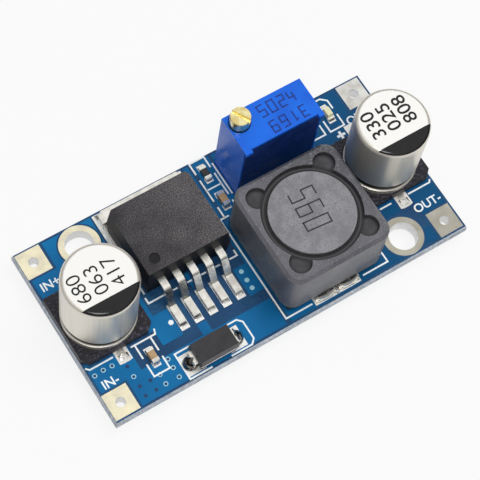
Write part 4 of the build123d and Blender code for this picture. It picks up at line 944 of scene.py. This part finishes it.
def make_pieces():
    """Makes every printed, plated and soldered piece that the model leaves to the scene."""
    copper, ink = MATERIALS["mask_over_copper"], MATERIALS["white_ink"]
    piece("copper_fields_top", copper_fields(), copper)
    piece("copper_fields_underside", underside_fields(), copper)
    piece("via_rims", via_rims(), THIN_MASK)
    piece("via_mouths", via_mouths(), MATERIALS["bare_mask"])
    piece("printed_outlines", legend() + plus_sign(), ink)
    piece("terminal_words", terminal_words(), ink)
    piece("can_print", can_print(), MATERIALS["black_ink"])
    piece("inductor_figures", disc_figures(), DARK_MARK)
    piece("trimmer_figures", trimmer_figures(), BLUE_MARK)
    piece("diode_seam_highlight", diode_seam_highlight(), SEAM_PAINTED_HIGHLIGHT)
    piece("diode_beads", diode_beads(), SOLDER_PAINTED_DARK)
    fillets = lead_fillets() + capacitor_fillets() + tab_fillet() + clip_solder()
    for node in SOLDERED_CHIPS:
        fillets += end_fillets(node)
    piece("solder_fillets", fillets, MATERIALS["solder"])


# Floor, light and camera

GLOW_SHARE = 0.85    # of the floor as it is seen; the rest is its own shading


def pale_floor():
    """A wide floor of white paper just under the ends of the pins. Seen directly or in a shiny
    surface it is near white, and keeps a share of its own shading, so the shadow stays."""
    low = cad_box[0][2] - 0.02 * MM
    side = 0.6        # metres, from the middle
    mesh = bpy.data.meshes.new("floor")
    corners = [(-side, -side, low), (side, -side, low), (side, side, low), (-side, side, low)]
    mesh.from_pydata(corners, [], [(0, 1, 2, 3)])
    material = bpy.data.materials.new("white_paper")
    material.use_nodes = True
    tree = material.node_tree
    tree.nodes.clear()
    paper = add(tree, "ShaderNodeBsdfDiffuse", {"Color": "#E0E0E0"})
    glow = add(tree, "ShaderNodeEmission", {"Color": "#FFFFFF", "Strength": 1.0})
    glossy = add(tree, "ShaderNodeLightPath", {}, "Is Glossy Ray")
    seen = add(tree, "ShaderNodeMath", {0: seen_straight(tree), 1: glossy}, operation="MAXIMUM")
    share = add(tree, "ShaderNodeMath", {0: seen, 1: GLOW_SHARE}, operation="MULTIPLY")
    mixed = add(tree, "ShaderNodeMixShader", {0: share, 1: paper, 2: glow})
    add(tree, "ShaderNodeOutputMaterial", {"Surface": mixed})
    mesh.materials.append(material)
    floor = bpy.data.objects.new("floor", mesh)
    bpy.context.scene.collection.objects.link(floor)


def seen_straight(tree):
    """1 where the camera sees it, directly or through something clear."""
    camera_ray = add(tree, "ShaderNodeLightPath", {}, "Is Camera Ray")
    clear_ray = add(tree, "ShaderNodeLightPath", {}, "Is Transmission Ray")
    return add(tree, "ShaderNodeMath", {0: camera_ray, 1: clear_ray}, operation="MAXIMUM")


# A sky as bright as the sine of its height, times SKY, gives a level white card its full
# brightness. Here it gives this share of that, and the two lamps the rest.
SKY, SKY_SHARE = 1.5, 0.42


def room():
    """White walls and a bright ceiling. Diffuse light comes mostly from overhead, so that sides
    are darker than tops. Shiny surfaces see soft white all round, darker low down."""
    world = bpy.data.worlds.new("room")
    bpy.context.scene.world = world
    world.use_nodes = True
    tree = world.node_tree
    tree.nodes.clear()
    way = add(tree, "ShaderNodeTexCoord", {}, "Generated")
    up = add(tree, "ShaderNodeSeparateXYZ", {0: way}, "Z")
    strength = add(tree, "ShaderNodeMapRange", {"Value": up, "To Max": SKY * SKY_SHARE})
    soft = add(tree, "ShaderNodeBackground", {"Color": "#FFFFFF", "Strength": strength})
    climb = add(tree, "ShaderNodeMapRange", {"Value": up, "From Min": 0.12, "From Max": 0.8})
    shown = add(tree, "ShaderNodeMix", {0: climb, 6: "#2C2D30", 7: "#FFFFFF"}, 2, data_type="RGBA")
    shiny = add(tree, "ShaderNodeBackground", {"Color": shown, "Strength": 0.9})
    white = add(tree, "ShaderNodeBackground", {"Color": "#FFFFFF", "Strength": 1.0})
    glossy = add(tree, "ShaderNodeLightPath", {}, "Is Glossy Ray")
    unseen = add(tree, "ShaderNodeMixShader", {0: glossy, 1: soft, 2: shiny})
    mixed = add(tree, "ShaderNodeMixShader", {0: seen_straight(tree), 1: unseen, 2: white})
    add(tree, "ShaderNodeOutputWorld", {"Surface": mixed})


def lamp(name, place, size, share, mirrored):
    """A square soft lamp aimed at the middle of the board. Its share is the part of a white
    card's full brightness that it gives there: the power is pi squared times the distance
    squared, times the share. Unless it is mirrored, shiny surfaces see only the room."""
    light = bpy.data.lights.new(name, "AREA")
    light.size = size
    place = np.array(place)
    distance = float(np.linalg.norm(place))
    light.energy = math.pi**2 * distance**2 * share
    holder = bpy.data.objects.new(name, light)
    holder.visible_glossy = mirrored
    bpy.context.scene.collection.objects.link(holder)
    back = place / distance
    across = np.cross([0.0, 1.0, 0.0], back)
    across /= np.linalg.norm(across)
    upward = np.cross(back, across)
    turn = np.column_stack([across, upward, back])
    holder.matrix_world = Matrix.Translation(place.tolist()) @ Matrix(turn.tolist()).to_4x4()


def camera():
    """The photograph's own view: from the front left, 66 degrees above the board. The lens, the
    place and the three directions come from a fit to the photograph."""
    view = bpy.data.cameras.new("camera")
    view.sensor_width = 36.0
    view.lens = 134.37
    view.clip_start, view.clip_end = 0.01, 5.0
    right = (0.84194072, -0.53222507, 0.08872595)
    down = (-0.45808807, -0.79195804, -0.4036803)
    forward = (0.28511601, 0.29923059, -0.91058768)
    turn = np.column_stack([right, -np.array(down), -np.array(forward)])
    holder = bpy.data.objects.new("camera", view)
    bpy.context.scene.collection.objects.link(holder)
    place = np.array([-53.88524888, -56.07931985, 172.94391493]) * MM
    holder.matrix_world = Matrix.Translation(place.tolist()) @ Matrix(turn.tolist()).to_4x4()
    bpy.context.scene.camera = holder


dress_nodes()
make_pieces()
pale_floor()
room()
lamp("key", (0.1, -0.01, 0.33), size=0.18, share=0.38, mirrored=False)
lamp("window", (-0.08, -0.098, 0.33), size=0.11, share=0.24, mirrored=True)
camera()
bpy.context.scene.view_settings.view_transform = "Standard"
